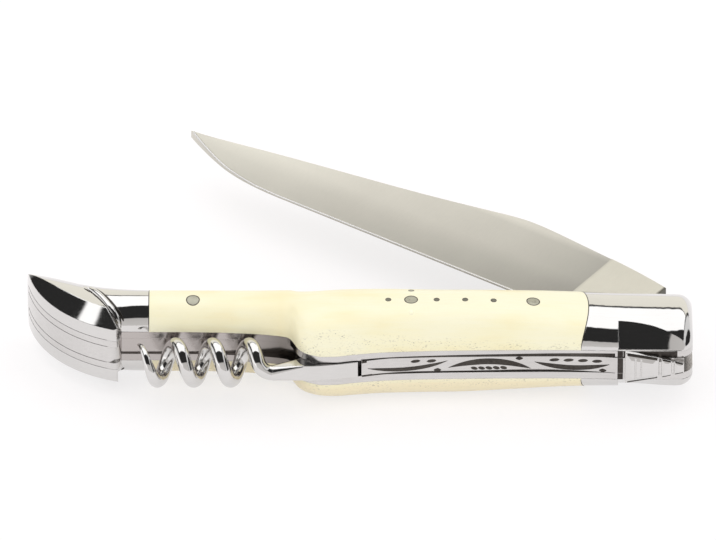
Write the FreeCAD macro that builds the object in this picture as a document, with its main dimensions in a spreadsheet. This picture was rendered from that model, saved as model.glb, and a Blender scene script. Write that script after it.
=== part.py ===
"""Folding pocket knife with a corkscrew, built as separate pieces on two hinges.

The knife lies on its side. +X runs along the handle to the head, where the blade turns, +Y is the side that
the blade comes out of, and +Z is up, through the thickness. The origin lies on the resting flat of the lower
scale, midway along the handle. Heights in this file are measured from the handle's mid-plane.
"""
import FreeCAD
import Part

import math
import os

from FreeCAD import Placement, Rotation, Vector

SIZES = {
    # Handle stack, from the blade slot outwards
    "handle_length": 120.0,
    "handle_width": 16.0,
    "slot_width": 3.4,
    "liner_thickness": 1.4,
    "scale_rise": 6.15,
    "rest_flat_depth": 0.2,
    # Clearances
    "side_clearance": 0.1,
    "pin_clearance": 0.05,
    "edge_clearance": 0.5,
    "tip_clearance": 0.5,
    "root_clearance": 0.25,
    "stop_clearance": 0.35,
    "tang_clearance": 0.35,
    "cut_overrun": 4.0,
    # Head bolsters
    "head_bolster_length": 18.7,
    "head_joint_radius": 20.0,
    "head_edge_radius": 2.6,
    "scoop_from_head": 13.4,
    "scoop_end_from_head": 1.8,
    # Tail bolsters
    "tail_bolster_length": 22.2,
    "tail_rise": 4.65,
    "butt_radius": 22.3,
    "beak_corner_depth": 4.9,
    "butt_wall_rise": 2.5,
    "butt_facet_rise": 2.4,
    "butt_facet_run": 3.2,
    "beak_corner_from_tail": 16.8,
    "beak_corner_round": 1.3,
    "spring_corner_round": 2.8,
    "notch_end_from_tail": 17.3,
    # Blade and its pivot
    "pivot_from_head": 6.6,
    "pivot_side": 2.0,
    "pivot_pin_diameter": 4.0,
    "pivot_pin_length": 10.0,
    "tang_radius": 5.8,
    "blade_width": 18.3,
    "edge_below_pivot": 3.84,
    "edge_thickness": 0.3,
    "ricasso_length": 18.6,
    # Backspring
    "tail_wall": 7.4,
    "nose_length": 14.0,
    "ramp_length": 3.5,
    "spring_pin_diameter": 2.4,
    "spring_pin_along": 14.0,
    "tail_pin_from_tail": 12.5,
    "tail_pin_side": 0.2,
    "tail_pin_length": 10.0,
    # Fly on the head end of the backspring
    "fly_from_head": 12.2,
    "fly_length": 10.6,
    "fly_half_width": 3.5,
    "fly_height": 1.3,
    "fly_base_height": 0.5,
    "fly_line_width": 0.3,
    "fly_line_depth": 0.25,
    # Corkscrew
    "screw_pivot_behind": 3.2,
    "screw_pivot_inset": 1.6,
    "screw_pin_diameter": 1.8,
    "root_reach": 3.0,
    "shank_length": 12.3,
    "shank_taper_length": 5.5,
    "shank_thickness": 3.0,
    "shank_swell": 1.4,
    "worm_diameter": 9.1,
    "wire_diameter": 2.7,
    "worm_bend_length": 2.6,
    "worm_tip_clearance": 3.1,
    "worm_tip_diameter": 0.6,
    # Rivets and pins in the scales
    "rivet_diameter": 2.3,
    "cross_pin_diameter": 1.0,
    "cross_pin_depth": 2.5,
    "cross_pin_spacing": 4.7,
    "cross_arm_offset": 3.4,
    "cross_arm_along": 9.4,
    # Engraved back of the spring
    "engraving_depth": 0.35,
    "engraving_reach": 5.0,
    "nick_width": 0.5,
    "nick_lean": 1.1,
    "dot_diameter": 0.75,
}

# Angles in degrees: the blade's lean from the handle at rest and when shut, then the shaping angles
REST_ANGLE = 35.2
CLOSED_TILT = 2.7
FLY_TAPER_ANGLE = -60.0
WORM_TURNS = 3.25
WORM_END_ANGLE = 145.0
HEAD_ROUND_ANGLE = 90.0
RECESS_END_ANGLE = 120.0
ROOT_CROWN_ANGLE = 110.0

# Depths behind the mid-line of the handle, as shares of its width
HEAD_BACK_SHARE = 0.4875
NOTCH_FLOOR_SHARE = 0.081
SPRING_PIN_SHARE = 0.2625
SCREW_PIVOT_SHARE = 0.459
WORM_AXIS_SHARE = 0.425
# Stations along the handle: place along the length, back edge and blade edge across the width, rise
HANDLE_STATION_SHARES = (
    (-0.342, -0.105, 0.500, 0.756),
    (-0.250, -0.108, 0.500, 0.756),
    (-0.167, -0.138, 0.494, 0.775),
    (-0.120, -0.185, 0.490, 0.815),
    (-0.105, -0.225, 0.490, 0.840),
    (-0.091, -0.435, 0.490, 0.870),
    (-0.082, -0.510, 0.491, 0.892),
    (-0.070, -0.560, 0.494, 0.920),
    (-0.055, -0.590, 0.498, 0.950),
    (-0.036, -0.586, 0.502, 0.980),
    (-0.010, -0.552, 0.506, 0.995),
    (0.042, -0.500, 0.500, 1.000),
    (0.1375, -0.469, 0.475, 1.000),
    (0.225, -0.459, 0.506, 0.910),
    (0.288, -0.456, 0.5375, 0.805),
    (0.342, -0.4625, 0.544, 0.732),
    (0.392, -0.475, 0.5375, 0.690),
    (0.442, -0.479, 0.525, 0.675),
    (0.510, -0.476, 0.5125, 0.650),
)
# Neck of the tail bolster, which the scale meets, and the beak that stands out of it
NECK_STATION_SHARES = (
    (-0.300, -0.106, 0.500, 1.000),
    (-0.342, -0.105, 0.522, 0.990),
    (-0.383, -0.090, 0.590, 0.930),
    (-0.425, 0.000, 0.700, 0.850),
    (-0.458, 0.260, 0.790, 0.740),
)
BEAK_STATION_SHARES = (
    (-0.342, -0.640, 0.530, 1.020),
    (-0.383, -0.600, 0.605, 1.040),
    (-0.425, -0.470, 0.715, 1.030),
    (-0.467, -0.220, 0.840, 0.960),
    (-0.517, 0.190, 0.950, 0.780),
)
BEAK_LINE_SHARES = ((-0.397, 0.200), (-0.3575, -0.331))
# Scoop on the back of the head bolster: place along it, brow and foot across the width, brow up the rise
SCOOP_SHARES = (
    (0.00, -0.219, -0.455, 0.593),
    (0.50, -0.275, -0.462, 0.541),
    (1.00, -0.419, -0.472, 0.309),
    (1.20, -0.460, -0.475, 0.200),
)
# Even sections that each smooth form is drawn through, and the steps across one section
HANDLE_SECTION_COUNT = 112
TAIL_SECTION_COUNT = 12
HEAD_SECTION_COUNT = 24
HEAD_ROUND_COUNT = 8
ROW_STEP_COUNT = 12
# Blade edge side of the liners past the neck, to the tip of the butt
TAIL_FAR_SHARES = ((-0.358, 0.545), (-0.408, 0.660), (-0.446, 0.778), (-0.475, 0.858))
TIP_SIDE_SHARE = 0.905
# Back of the spring between the corkscrew and the fly
SPRING_BACK_SHARES = ((0.062, -0.482), (0.1375, -0.456), (0.2125, -0.4375), (0.288, -0.431), (0.364, -0.466))
# Blade outline as shares of its reach and its width, from the edge line
SPINE_SHARES = (
    (0.150, 0.912),
    (0.260, 0.967),
    (0.335, 0.996),
    (0.365, 0.990),
    (0.410, 0.950),
    (0.510, 0.840),
    (0.685, 0.680),
    (0.885, 0.502),
    (0.960, 0.430),
)
TIP_SHARES = (1.000, 0.404)
EDGE_CURVE_SHARES = ((0.968, 0.303), (0.919, 0.169), (0.877, 0.081), (0.822, 0.019), (0.769, 0.000))
SHOULDER_SHARE = 0.822
# Fly tiers: start and end along the fly, half widths there, height and how much of that height is bevelled
FLY_TIER_SHARES = (
    (0.000, 0.575, 0.950, 0.640, 1.00, 0.50),
    (0.615, 0.790, 0.580, 0.460, 0.85, 0.26),
    (0.830, 1.000, 0.420, 0.300, 0.75, 0.22),
)
FLY_LINE_SHARES = (0.160, 0.255)
# Corner radii of the corkscrew's wire end and bar, and the bow of its back
WIRE_CORNER_SHARE = 0.92
BAR_CORNER_SHARE = 0.2
BACK_BOW_SHARE = 0.15
# Rivets through each scale: place along the handle and across it
RIVET_SHARES = {"tail": (-0.249, 0.125), "centre": (0.078, 0.0), "front": (0.261, 0.030)}
CROSS_PIN_ALONG_SHARES = (-0.88, 0.97, 2.06, 3.15)
# Engraved crescents: place and height of both ends, then the two sags, heights as shares of the spring's width
CRESCENT_SHARES = (
    (0.012, 0.00, 0.134, 0.25, -0.47, -0.27),
    (0.133, -0.23, 0.258, -0.37, 0.60, 0.27),
    (0.262, 0.08, 0.376, 0.04, -0.46, -0.20),
)
# Rows of engraved nicks: first and last place, count, foot and top across the spring
NICK_ROW_SHARES = (
    (0.080, 0.104, 2, 0.20, 0.26),
    (0.168, 0.212, 5, -0.26, -0.32),
    (0.288, 0.352, 4, 0.17, 0.23),
)
DOT_SHARES = ((0.1175, -0.36), (0.240, 0.30), (0.365, -0.37))

doc = FreeCAD.newDocument("pocket_knife")
sheet = doc.addObject("Spreadsheet::Sheet", "sizes")
for row, (alias, amount) in enumerate(SIZES.items(), start=1):
    sheet.set(f"A{row}", alias)
    sheet.set(f"B{row}", str(amount))
    sheet.setAlias(f"B{row}", alias)
doc.recompute()

LINER_FACE = "(sizes.slot_width / 2 + sizes.liner_thickness)"
SCALE_TOP = f"({LINER_FACE} + sizes.scale_rise - sizes.rest_flat_depth)"
MID = SCALE_TOP
HEAD_JOINT_CENTRE = "(sizes.handle_length / 2 - sizes.head_bolster_length - sizes.head_joint_radius)"
BUTT_CORNER_RUN = "(sizes.beak_corner_from_tail - sizes.butt_radius)"
BUTT_SIDE = f"(sqrt(sizes.butt_radius ^ 2 - {BUTT_CORNER_RUN} ^ 2) - sizes.beak_corner_depth)"
nodes = {}


def value(alias):
    """Length held by one cell of the sheet."""
    return float(sheet.get(alias))


def along(share):
    """Place along the handle for a share of its length."""
    return value("handle_length") * share


def side(share):
    """Place across the handle for a share of its width."""
    return value("handle_width") * share


half_length = value("handle_length") / 2
slot_half = value("slot_width") / 2
liner_face = slot_half + value("liner_thickness")
mid_height = liner_face + value("scale_rise") - value("rest_flat_depth")
pivot = Vector(half_length - value("pivot_from_head"), value("pivot_side"), 0)
nose_x = half_length - value("fly_from_head") + value("fly_length")
blade_reach = pivot.x + half_length - value("tail_wall") - value("tip_clearance")
screw_pivot = Vector(-value("screw_pivot_behind"), -side(SCREW_PIVOT_SHARE), 0)
screw_back = screw_pivot.y - value("screw_pivot_inset")
root_corner_radius = math.hypot(value("root_reach"), value("screw_pivot_inset"))
recess_radius = root_corner_radius + value("root_clearance")
butt_run = value("beak_corner_from_tail") - value("butt_radius")
butt_drop = math.sqrt(value("butt_radius") ** 2 - butt_run ** 2)
butt_centre = Vector(value("butt_radius") - half_length, butt_drop - value("beak_corner_depth"), 0)


def put(piece, x="0", y="0", z="0"):
    """Bind a piece's place to the sheet; z is a height from the mid-plane."""
    piece.setExpression("Placement.Base.x", x)
    piece.setExpression("Placement.Base.y", y)
    piece.setExpression("Placement.Base.z", f"{MID} + {z}")
    return piece


def box(name, length, width, height, x, y, z):
    """Box with bound sizes, placed by its low corner."""
    piece = doc.addObject("Part::Box", name)
    piece.setExpression("Length", length)
    piece.setExpression("Width", width)
    piece.setExpression("Height", height)
    return put(piece, x, y, z)


def rod(name, diameter, height, x, y, z):
    """Upright cylinder with bound sizes, placed by the centre of its lower end."""
    piece = doc.addObject("Part::Cylinder", name)
    piece.setExpression("Radius", f"({diameter}) / 2")
    piece.setExpression("Height", height)
    return put(piece, x, y, z)


def boolean(kind, name, base, tool):
    """Cut, common or fuse of two pieces."""
    piece = doc.addObject(f"Part::{kind}", name)
    piece.Base = base
    piece.Tool = tool
    return piece


def union(name, pieces):
    """Fuse of several pieces."""
    piece = doc.addObject("Part::MultiFuse", name)
    piece.Shapes = pieces
    return piece


def mirrored(name, source):
    """Copy of a piece on the other side of the mid-plane."""
    piece = doc.addObject("Part::Mirroring", name)
    piece.Source = source
    piece.Normal = Vector(0, 0, 1)
    piece.setExpression("Base.z", MID)
    return piece


def node(name, piece):
    """Register a finished piece under the name of its file."""
    piece.Label = name
    nodes[name] = piece
    return piece


def plan_body(name):
    """Empty body whose own XY plane is the mid-plane of the handle."""
    body = doc.addObject("PartDesign::Body", name)
    body.setExpression("Placement.Base.z", MID)
    return body


def sketch_on(body, name, role, curves, lift="0"):
    """Sketch on one of the body's origin planes, lifted along its normal."""
    plane = next(item for item in body.Origin.OriginFeatures if item.Role == role)
    sketch = body.newObject("Sketcher::SketchObject", name)
    sketch.AttachmentSupport = [(plane, "")]
    sketch.MapMode = "FlatFace"
    sketch.setExpression("AttachmentOffset.Base.z", lift)
    for curve in curves:
        sketch.addGeometry(curve, False)
    return sketch


def pad(body, name, sketch, length, midplane=False, taper=0):
    """Pad of a sketch by a bound length, tapered by an angle."""
    feature = body.newObject("PartDesign::Pad", name)
    feature.Profile = sketch
    feature.SideType = "Symmetric" if midplane else "One side"
    feature.TaperAngle = taper
    feature.setExpression("Length", length)
    return feature


def spline(points):
    """Smooth curve through points."""
    curve = Part.BSplineCurve()
    curve.interpolate(points)
    return curve


def chain(points):
    """Straight segments through points in turn."""
    return [Part.LineSegment(start, end) for start, end in zip(points, points[1:])]


def ring_points(points):
    """Closed run of straight segments."""
    return chain(list(points) + [points[0]])


def circle(centre, diameter):
    """Full circle in a sketch."""
    return Part.Circle(centre, Vector(0, 0, 1), diameter / 2)


def arc_about(centre, radius, start, end):
    """Arc about a centre between two angles in degrees, counterclockwise."""
    full = Part.Circle(centre, Vector(0, 0, 1), radius)
    return Part.ArcOfCircle(full, math.radians(start), math.radians(end))


def polar(centre, radius, angle):
    """Point at an angle in degrees round a centre."""
    turn = math.radians(angle)
    return centre + Vector(radius * math.cos(turn), radius * math.sin(turn), 0)


def blade_point(reach, height):
    """Blade outline point from shares, in the blade's own frame: -X to the tip, +Y to the spine."""
    return Vector(-blade_reach * reach, value("blade_width") * height - value("edge_below_pivot"), 0)


def shut_point(reach, height):
    """Where a blade outline point lies on the plan of the handle when the blade is shut."""
    turn = Rotation(Vector(0, 0, 1), -CLOSED_TILT)
    return pivot + turn.multVec(blade_point(reach, height))


def station_row(x_share, near_share, far_share, rise):
    """Points over an elliptical section of the handle, from its back edge to its blade edge."""
    centre = Vector(along(x_share), side(near_share + far_share) / 2, liner_face)
    half_width = side(far_share - near_share) / 2
    turns = [math.pi * step / ROW_STEP_COUNT for step in range(ROW_STEP_COUNT + 1)]
    return [centre + Vector(0, -half_width * math.cos(turn), rise * math.sin(turn)) for turn in turns]


def eased_slopes(places, amounts):
    """Slope at each station that keeps a curve through the amounts from overshooting."""
    steps = [(after - before) / (end - start)
             for before, after, start, end in zip(amounts, amounts[1:], places, places[1:])]
    inner = [2 * left * right / (left + right) if left * right > 0 else 0
             for left, right in zip(steps, steps[1:])]
    return [steps[0]] + inner + [steps[-1]]


def eased(stations, place, column):
    """One column of a station table at a place between its stations."""
    places = [station[0] for station in stations]
    amounts = [station[column] for station in stations]
    slopes = eased_slopes(places, amounts)
    index = next((at for at, end in enumerate(places[1:]) if place <= end), len(places) - 2)
    span = places[index + 1] - places[index]
    go = (place - places[index]) / span
    start = amounts[index] * (1 + 2 * go) * (1 - go) ** 2 + slopes[index] * span * go * (1 - go) ** 2
    end = amounts[index + 1] * go ** 2 * (3 - 2 * go) - slopes[index + 1] * span * go ** 2 * (1 - go)
    return start + end


def even_places(stations, count):
    """Places spread evenly from the first station to the last."""
    first = stations[0][0]
    last = stations[-1][0]
    return [first + (last - first) * step / count for step in range(count + 1)]


def closing_face(curve):
    """Flat face between a curve and the straight line that joins its ends."""
    edge = curve.toShape()
    closing = Part.LineSegment(edge.lastVertex().Point, edge.firstVertex().Point).toShape()
    return Part.Face(Part.Wire([edge, closing]))


def section_row(stations, place, rise, inset=0.0):
    """Points of the eased section at a place, drawn in on all sides by an inset."""
    near, far, share = [eased(stations, place, column) for column in (1, 2, 3)]
    drawn = inset / value("handle_width")
    return station_row(place, near + drawn, far - drawn, rise * share - inset)


def station_form(name, stations, rise, count):
    """Solid over the liner's outer face with a smooth skin, eased between its stations."""
    return skin_form(name, [section_row(stations, place, rise) for place in even_places(stations, count)])


def skin_form(name, rows):
    """Solid over the liner's outer face with a smooth skin through rows of points."""
    skin = Part.BSplineSurface()
    skin.interpolate(rows)
    for row in range(1, skin.NbUPoles + 1):
        for column in (1, skin.NbVPoles):
            pole = skin.getPole(row, column)
            skin.setPole(row, column, Vector(pole.x, pole.y, liner_face))
    u_start, u_end, v_start, v_end = skin.bounds()
    near_edge = skin.vIso(v_start).toShape()
    far_edge = skin.vIso(v_end).toShape()
    first = Part.LineSegment(rows[0][0], rows[0][-1]).toShape()
    last = Part.LineSegment(rows[-1][0], rows[-1][-1]).toShape()
    floor = Part.Face(Part.Wire(Part.sortEdges([near_edge, last, far_edge, first])[0]))
    ends = [closing_face(skin.uIso(u_start)), closing_face(skin.uIso(u_end))]
    shell = Part.makeShell([skin.toShape(), floor] + ends)
    shell.sewShape()
    piece = doc.addObject("Part::Feature", name)
    piece.Shape = Part.makeSolid(shell)
    piece.setExpression("Placement.Base.z", MID)
    return piece


def butt_arc_angles():
    """Angles of the near corner and of the tip on the butt's arc."""
    corner_x = value("beak_corner_from_tail") - half_length - butt_centre.x
    tip_y = side(TIP_SIDE_SHARE) - butt_centre.y
    corner = 360 - math.degrees(math.acos(corner_x / value("butt_radius")))
    tip = 180 - math.degrees(math.asin(tip_y / value("butt_radius")))
    return tip, corner


def head_outline():
    """Blunt head end on the plan, with round corners, from the back edge to the blade edge."""
    radius = value("head_edge_radius")
    near = side(HANDLE_STATION_SHARES[-1][1])
    far = side(HANDLE_STATION_SHARES[-1][2])
    centre_x = half_length - radius
    face = chain([Vector(half_length, near + radius, 0), Vector(half_length, far - radius, 0)])
    curves = [arc_about(Vector(centre_x, near + radius, 0), radius, 270, 360), *face]
    curves.append(arc_about(Vector(centre_x, far - radius, 0), radius, 0, 90))
    return Vector(centre_x, near, 0), curves, Vector(centre_x, far, 0)


def butt_outline(rounding):
    """Tip of the butt, its arc with a rounded near corner, and the end of that round."""
    tip_angle, corner_angle = butt_arc_angles()
    radius = value("butt_radius")
    tip = polar(butt_centre, radius, tip_angle)
    corner = polar(butt_centre, radius, corner_angle)
    round_angle = corner_angle - math.degrees(rounding / radius)
    round_start = polar(butt_centre, radius, round_angle)
    round_end = corner + (notch_foot() - corner).normalize() * rounding
    crown = (round_start + round_end + corner * 2) * 0.25
    curves = [arc_about(butt_centre, radius, tip_angle, round_angle), Part.Arc(round_start, crown, round_end)]
    return tip, curves, round_end


def notch_foot():
    """Point where the beak meets the floor of the corkscrew's notch."""
    return Vector(value("notch_end_from_tail") - half_length, side(HANDLE_STATION_SHARES[0][1]), 0)


def rivet_centre(place):
    """Centre of one scale rivet on the plan."""
    x_share, y_share = RIVET_SHARES[place]
    return Vector(along(x_share), side(y_share), 0)


spring_pin = Vector(value("spring_pin_along"), -side(SPRING_PIN_SHARE), 0)
tail_pin = Vector(value("tail_pin_from_tail") - half_length, value("tail_pin_side"), 0)


def make_pins():
    """Pivot pins and backspring pins, centred on the mid-plane."""
    plans = (
        ("blade_pivot_pin", "pivot_pin_diameter", "sizes.pivot_pin_length",
         "sizes.handle_length / 2 - sizes.pivot_from_head", "sizes.pivot_side"),
        ("corkscrew_pivot_pin", "screw_pin_diameter", f"2 * {LINER_FACE}",
         "-sizes.screw_pivot_behind", f"-sizes.handle_width * {SCREW_PIVOT_SHARE}"),
        ("spring_centre_pin", "spring_pin_diameter", f"2 * {LINER_FACE}",
         "sizes.spring_pin_along", f"-sizes.handle_width * {SPRING_PIN_SHARE}"),
        ("spring_tail_pin", "spring_pin_diameter", "sizes.tail_pin_length",
         "sizes.tail_pin_from_tail - sizes.handle_length / 2", "sizes.tail_pin_side"),
    )
    for name, diameter, length, x, y in plans:
        node(name, rod(name, f"sizes.{diameter}", length, x, y, f"-({length}) / 2"))


def make_liners():
    """Two steel liners with every pin hole."""
    body = plan_body("liner")
    head_start, head, head_end = head_outline()
    tip, butt, corner = butt_outline(value("beak_corner_round"))
    foot = notch_foot()
    places = [place for place in even_places(HANDLE_STATION_SHARES, HANDLE_SECTION_COUNT)
              if along(place) < head_start.x]
    near = [Vector(along(place), side(eased(HANDLE_STATION_SHARES, place, 1)), 0) for place in places]
    far = [Vector(along(x), side(y), 0) for x, near_y, y, rise in reversed(HANDLE_STATION_SHARES[1:-1])]
    tail = [Vector(along(x), side(y), 0) for x, y in TAIL_FAR_SHARES]
    curves = [*butt, Part.LineSegment(corner, foot), spline([foot] + near + [head_start]), *head]
    curves.append(spline([head_end] + far + tail + [tip]))
    pad(body, "liner_plate", sketch_on(body, "liner_plan", "XY_Plane", curves, "sizes.slot_width / 2"),
        "sizes.liner_thickness")
    holes = [circle(pivot, value("pivot_pin_diameter"))]
    holes.append(circle(screw_pivot, value("screw_pin_diameter")))
    holes += [circle(centre, value("spring_pin_diameter")) for centre in (spring_pin, tail_pin)]
    holes += [circle(rivet_centre(place), value("rivet_diameter")) for place in RIVET_SHARES]
    drilled = sketch_on(body, "liner_hole_plan", "XY_Plane", holes, LINER_FACE)
    doc.recompute()
    drill = body.newObject("PartDesign::Pocket", "liner_holes")
    drill.Profile = drilled
    drill.Type = "ThroughAll"
    node("liner_top", body)
    node("liner_bottom", mirrored("liner_mirror", body))


def make_scales(form):
    """Bone scales, the rivets that hold them and the cross of small pins."""
    tail_joint = "(sizes.tail_bolster_length - sizes.handle_length / 2)"
    depth = f"({SCALE_TOP} - {LINER_FACE})"
    straight = box("scale_straight", f"{HEAD_JOINT_CENTRE} - {tail_joint}", "sizes.handle_width * 2", depth,
                   tail_joint, "-sizes.handle_width", LINER_FACE)
    rounded = rod("scale_rounded", "2 * sizes.head_joint_radius", depth, HEAD_JOINT_CENTRE, "0", LINER_FACE)
    plain = boolean("Common", "scale_plain", form, union("scale_block", [straight, rounded]))
    shafts = []
    for place, (x_share, y_share) in RIVET_SHARES.items():
        spot = (f"sizes.handle_length * {x_share}", f"sizes.handle_width * {y_share}", "sizes.slot_width / 2")
        shaft = rod(f"{place}_shaft", "sizes.rivet_diameter", f"{SCALE_TOP} - sizes.slot_width / 2", *spot)
        shafts.append(shaft)
        head = boolean("Common", f"{place}_rivet_head", form, shaft)
        stem = rod(f"{place}_rivet_stem", "sizes.rivet_diameter", "sizes.liner_thickness", *spot)
        upper = boolean("Fuse", f"{place}_rivet_upper", stem, head)
        pair = doc.addObject("Part::Compound", f"{place}_rivet_pair")
        pair.Links = [upper, mirrored(f"{place}_rivet_lower", upper)]
        node(f"{place}_scale_rivets", pair)
    drilled = boolean("Cut", "scale_drilled", plain, union("rivet_shafts", shafts))
    node("scale_bottom", mirrored("scale_mirror", drilled))

    arm = "sizes.cross_arm_along"
    places = [(f"{arm} + sizes.cross_pin_spacing * {share}", "0") for share in CROSS_PIN_ALONG_SHARES]
    places += [(arm, "sizes.cross_arm_offset"), (arm, "-sizes.cross_arm_offset")]
    foot = f"({LINER_FACE} + sizes.scale_rise - sizes.rest_flat_depth - sizes.cross_pin_depth)"
    small = [rod(f"cross_shaft_{index}", "sizes.cross_pin_diameter", "sizes.cross_pin_depth", x, y, foot)
             for index, (x, y) in enumerate(places)]
    shafts = union("cross_shafts", small)
    node("scale_top", boolean("Cut", "scale_upper", drilled, shafts))
    node("cross_pins", boolean("Common", "cross_pin_group", drilled, shafts))


def scoop_section(name, place, brow_y, foot_y, brow_rise):
    """Outline of the scoop's cut across the head bolster, at one place along it."""
    start_x = half_length - value("scoop_from_head")
    x = start_x + (value("scoop_from_head") - value("scoop_end_from_head")) * place
    foot = Vector(x, side(foot_y), liner_face)
    brow = Vector(x, side(brow_y), liner_face + value("scale_rise") * brow_rise)
    up = (brow - foot).normalize()
    out = Vector(1, 0, 0).cross(up) * value("handle_width")
    high = brow + up * value("scale_rise")
    low = foot - up * value("liner_thickness")
    piece = doc.addObject("Part::Feature", name)
    piece.Shape = Part.makePolygon([low, high, high + out, low + out, low])
    piece.setExpression("Placement.Base.z", MID)
    return piece


def head_rows():
    """Rows of points over the head bolsters: the handle's sections, drawn in round the blunt end."""
    radius = value("head_edge_radius")
    length = value("handle_length")
    first = half_length - value("head_bolster_length") - 2 * radius
    last = half_length - radius
    count = HEAD_SECTION_COUNT
    rows = [section_row(HANDLE_STATION_SHARES, (first + (last - first) * step / count) / length,
                        value("scale_rise")) for step in range(count)]
    for step in range(HEAD_ROUND_COUNT + 1):
        turn = math.radians(HEAD_ROUND_ANGLE * step / HEAD_ROUND_COUNT)
        rows.append(section_row(HANDLE_STATION_SHARES, (last + radius * math.sin(turn)) / length,
                                value("scale_rise"), radius * (1 - math.cos(turn))))
    return rows


def make_head_bolsters():
    """Blunt steel head bolsters with a round end, scooped on the back beside the fly."""
    rounded = skin_form("head_form", head_rows())
    joint = rod("head_joint", "2 * sizes.head_joint_radius", "sizes.scale_rise", HEAD_JOINT_CENTRE, "0",
                LINER_FACE)
    seated = boolean("Cut", "head_seated", rounded, joint)
    scoop = doc.addObject("Part::Loft", "head_scoop")
    scoop.Sections = [scoop_section(f"scoop_{index}", *row) for index, row in enumerate(SCOOP_SHARES)]
    scoop.Solid = True
    scooped = boolean("Cut", "head_scooped", seated, scoop)
    upper = boolean("Cut", "head_upper", scooped, nodes["blade_pivot_pin"])
    node("head_bolster_top", upper)
    node("head_bolster_bottom", mirrored("head_mirror", upper))


def make_tail_bolsters():
    """Beak-shaped steel tail bolsters with a walled butt and a facet round it."""
    rise = value("tail_rise")
    neck = station_form("tail_neck", NECK_STATION_SHARES[::-1], rise, TAIL_SECTION_COUNT)
    beak = station_form("tail_beak", BEAK_STATION_SHARES[::-1], rise, TAIL_SECTION_COUNT)
    centre_x = "sizes.butt_radius - sizes.handle_length / 2"
    wall = rod("butt_wall", "2 * sizes.butt_radius", "sizes.butt_wall_rise", centre_x, BUTT_SIDE, LINER_FACE)
    facet = doc.addObject("Part::Cone", "butt_facet")
    facet.setExpression("Radius1", "sizes.butt_radius")
    facet.setExpression("Radius2", "sizes.butt_radius - sizes.butt_facet_run")
    facet.setExpression("Height", "sizes.butt_facet_rise")
    put(facet, centre_x, BUTT_SIDE, f"{LINER_FACE} + sizes.butt_wall_rise")
    walled = boolean("Common", "beak_walled", beak, union("butt_form", [wall, facet]))
    inner, corner = [Vector(along(x), side(y), mid_height) for x, y in BEAK_LINE_SHARES]
    heading = (corner - inner).normalize()
    room = doc.addObject("Part::Box", "beak_room")
    room.setExpression("Length", "2 * sizes.handle_length")
    room.setExpression("Width", "sizes.handle_length")
    room.setExpression("Height", "2 * sizes.scale_rise")
    room.Placement = Placement(inner - heading * value("handle_length"), Rotation(Vector(1, 0, 0), heading))
    trimmed = boolean("Cut", "beak_trimmed", walled, room)
    plan = plan_body("beak_plan_body")
    tip, butt, corner = butt_outline(value("beak_corner_round"))
    reach = 3 * value("handle_width")
    corners = [corner, notch_foot(), Vector(notch_foot().x, reach, 0), Vector(tip.x, reach, 0), tip]
    pad(plan, "beak_plan_form", sketch_on(plan, "beak_plan", "XY_Plane", butt + chain(corners)),
        f"{LINER_FACE} + sizes.scale_rise")
    rounded = boolean("Common", "beak_rounded", trimmed, plan)
    solid = union("tail_solid", [neck, rounded])
    block = box("tail_block", "sizes.tail_bolster_length + sizes.cut_overrun", "sizes.handle_width * 3",
                "sizes.scale_rise", "-sizes.handle_length / 2 - sizes.cut_overrun", "-sizes.handle_width",
                LINER_FACE)
    capped = boolean("Common", "tail_capped", solid, block)
    upper = boolean("Cut", "tail_upper", capped, nodes["spring_tail_pin"])
    node("tail_bolster_top", upper)
    node("tail_bolster_bottom", mirrored("tail_mirror", upper))


def make_blade():
    """Blade with a round tang, a stop shoulder and flat-ground faces, in the resting pose."""
    body = doc.addObject("PartDesign::Body", "blade_body")
    body.Placement = Placement(Vector(), Rotation(Vector(0, 0, 1), -REST_ANGLE))
    put(body, "sizes.handle_length / 2 - sizes.pivot_from_head", "sizes.pivot_side")
    radius = value("tang_radius")
    shoulder_x = pivot.x - nose_x - value("stop_clearance")
    spine_start = Vector(shoulder_x, blade_point(0, SHOULDER_SHARE).y, 0)
    spine = [spine_start] + [blade_point(x, y) for x, y in SPINE_SHARES] + [blade_point(*TIP_SHARES)]
    edge_curve = [blade_point(*TIP_SHARES)] + [blade_point(x, y) for x, y in EDGE_CURVE_SHARES]
    heel_angle = math.degrees(math.asin(value("edge_below_pivot") / radius))
    heel = polar(Vector(), radius, 180 + heel_angle)
    crown = Vector(0, radius, 0)
    notch = Vector(shoulder_x, radius, 0)
    curves = [spline(spine), spline(edge_curve), Part.LineSegment(edge_curve[-1], heel)]
    curves.append(arc_about(Vector(), radius, heel_angle - 180, 90))
    curves += chain([crown, notch, spine_start])
    curves.append(circle(Vector(), value("pivot_pin_diameter") + 2 * value("pin_clearance")))
    pad(body, "blade_blank", sketch_on(body, "blade_plan", "XY_Plane", curves),
        "sizes.slot_width - 2 * sizes.side_clearance", midplane=True)
    half_spine = slot_half - value("side_clearance")
    half_edge = value("edge_thickness") / 2
    low = -value("edge_below_pivot")
    high = value("blade_width") - value("edge_below_pivot")
    over = value("cut_overrun")
    wedges = []
    for face in (1, -1):
        slope = (half_spine - half_edge) / (high - low)
        start = Vector(low - over, face * (half_edge - slope * over), 0)
        end = Vector(high + over, face * (half_spine + slope * over), 0)
        wedges += ring_points([start, end, Vector(end.x, face * over, 0), Vector(start.x, face * over, 0)])
    section = sketch_on(body, "blade_section", "YZ_Plane", wedges, "-sizes.ricasso_length")
    doc.recompute()
    grind = body.newObject("PartDesign::Pocket", "blade_grind")
    grind.Profile = section
    grind.setExpression("Length", "sizes.handle_length")
    node("blade", body)


def leaf(start, end, first_sag, second_sag):
    """Two arcs between the same ends, each bowed to one side by its own sag."""
    lift = Vector(start.y - end.y, end.x - start.x, 0).normalize()
    middle = (start + end) * 0.5
    return [Part.Arc(start, middle + lift * sag, end) for sag in (first_sag, second_sag)]


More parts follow.
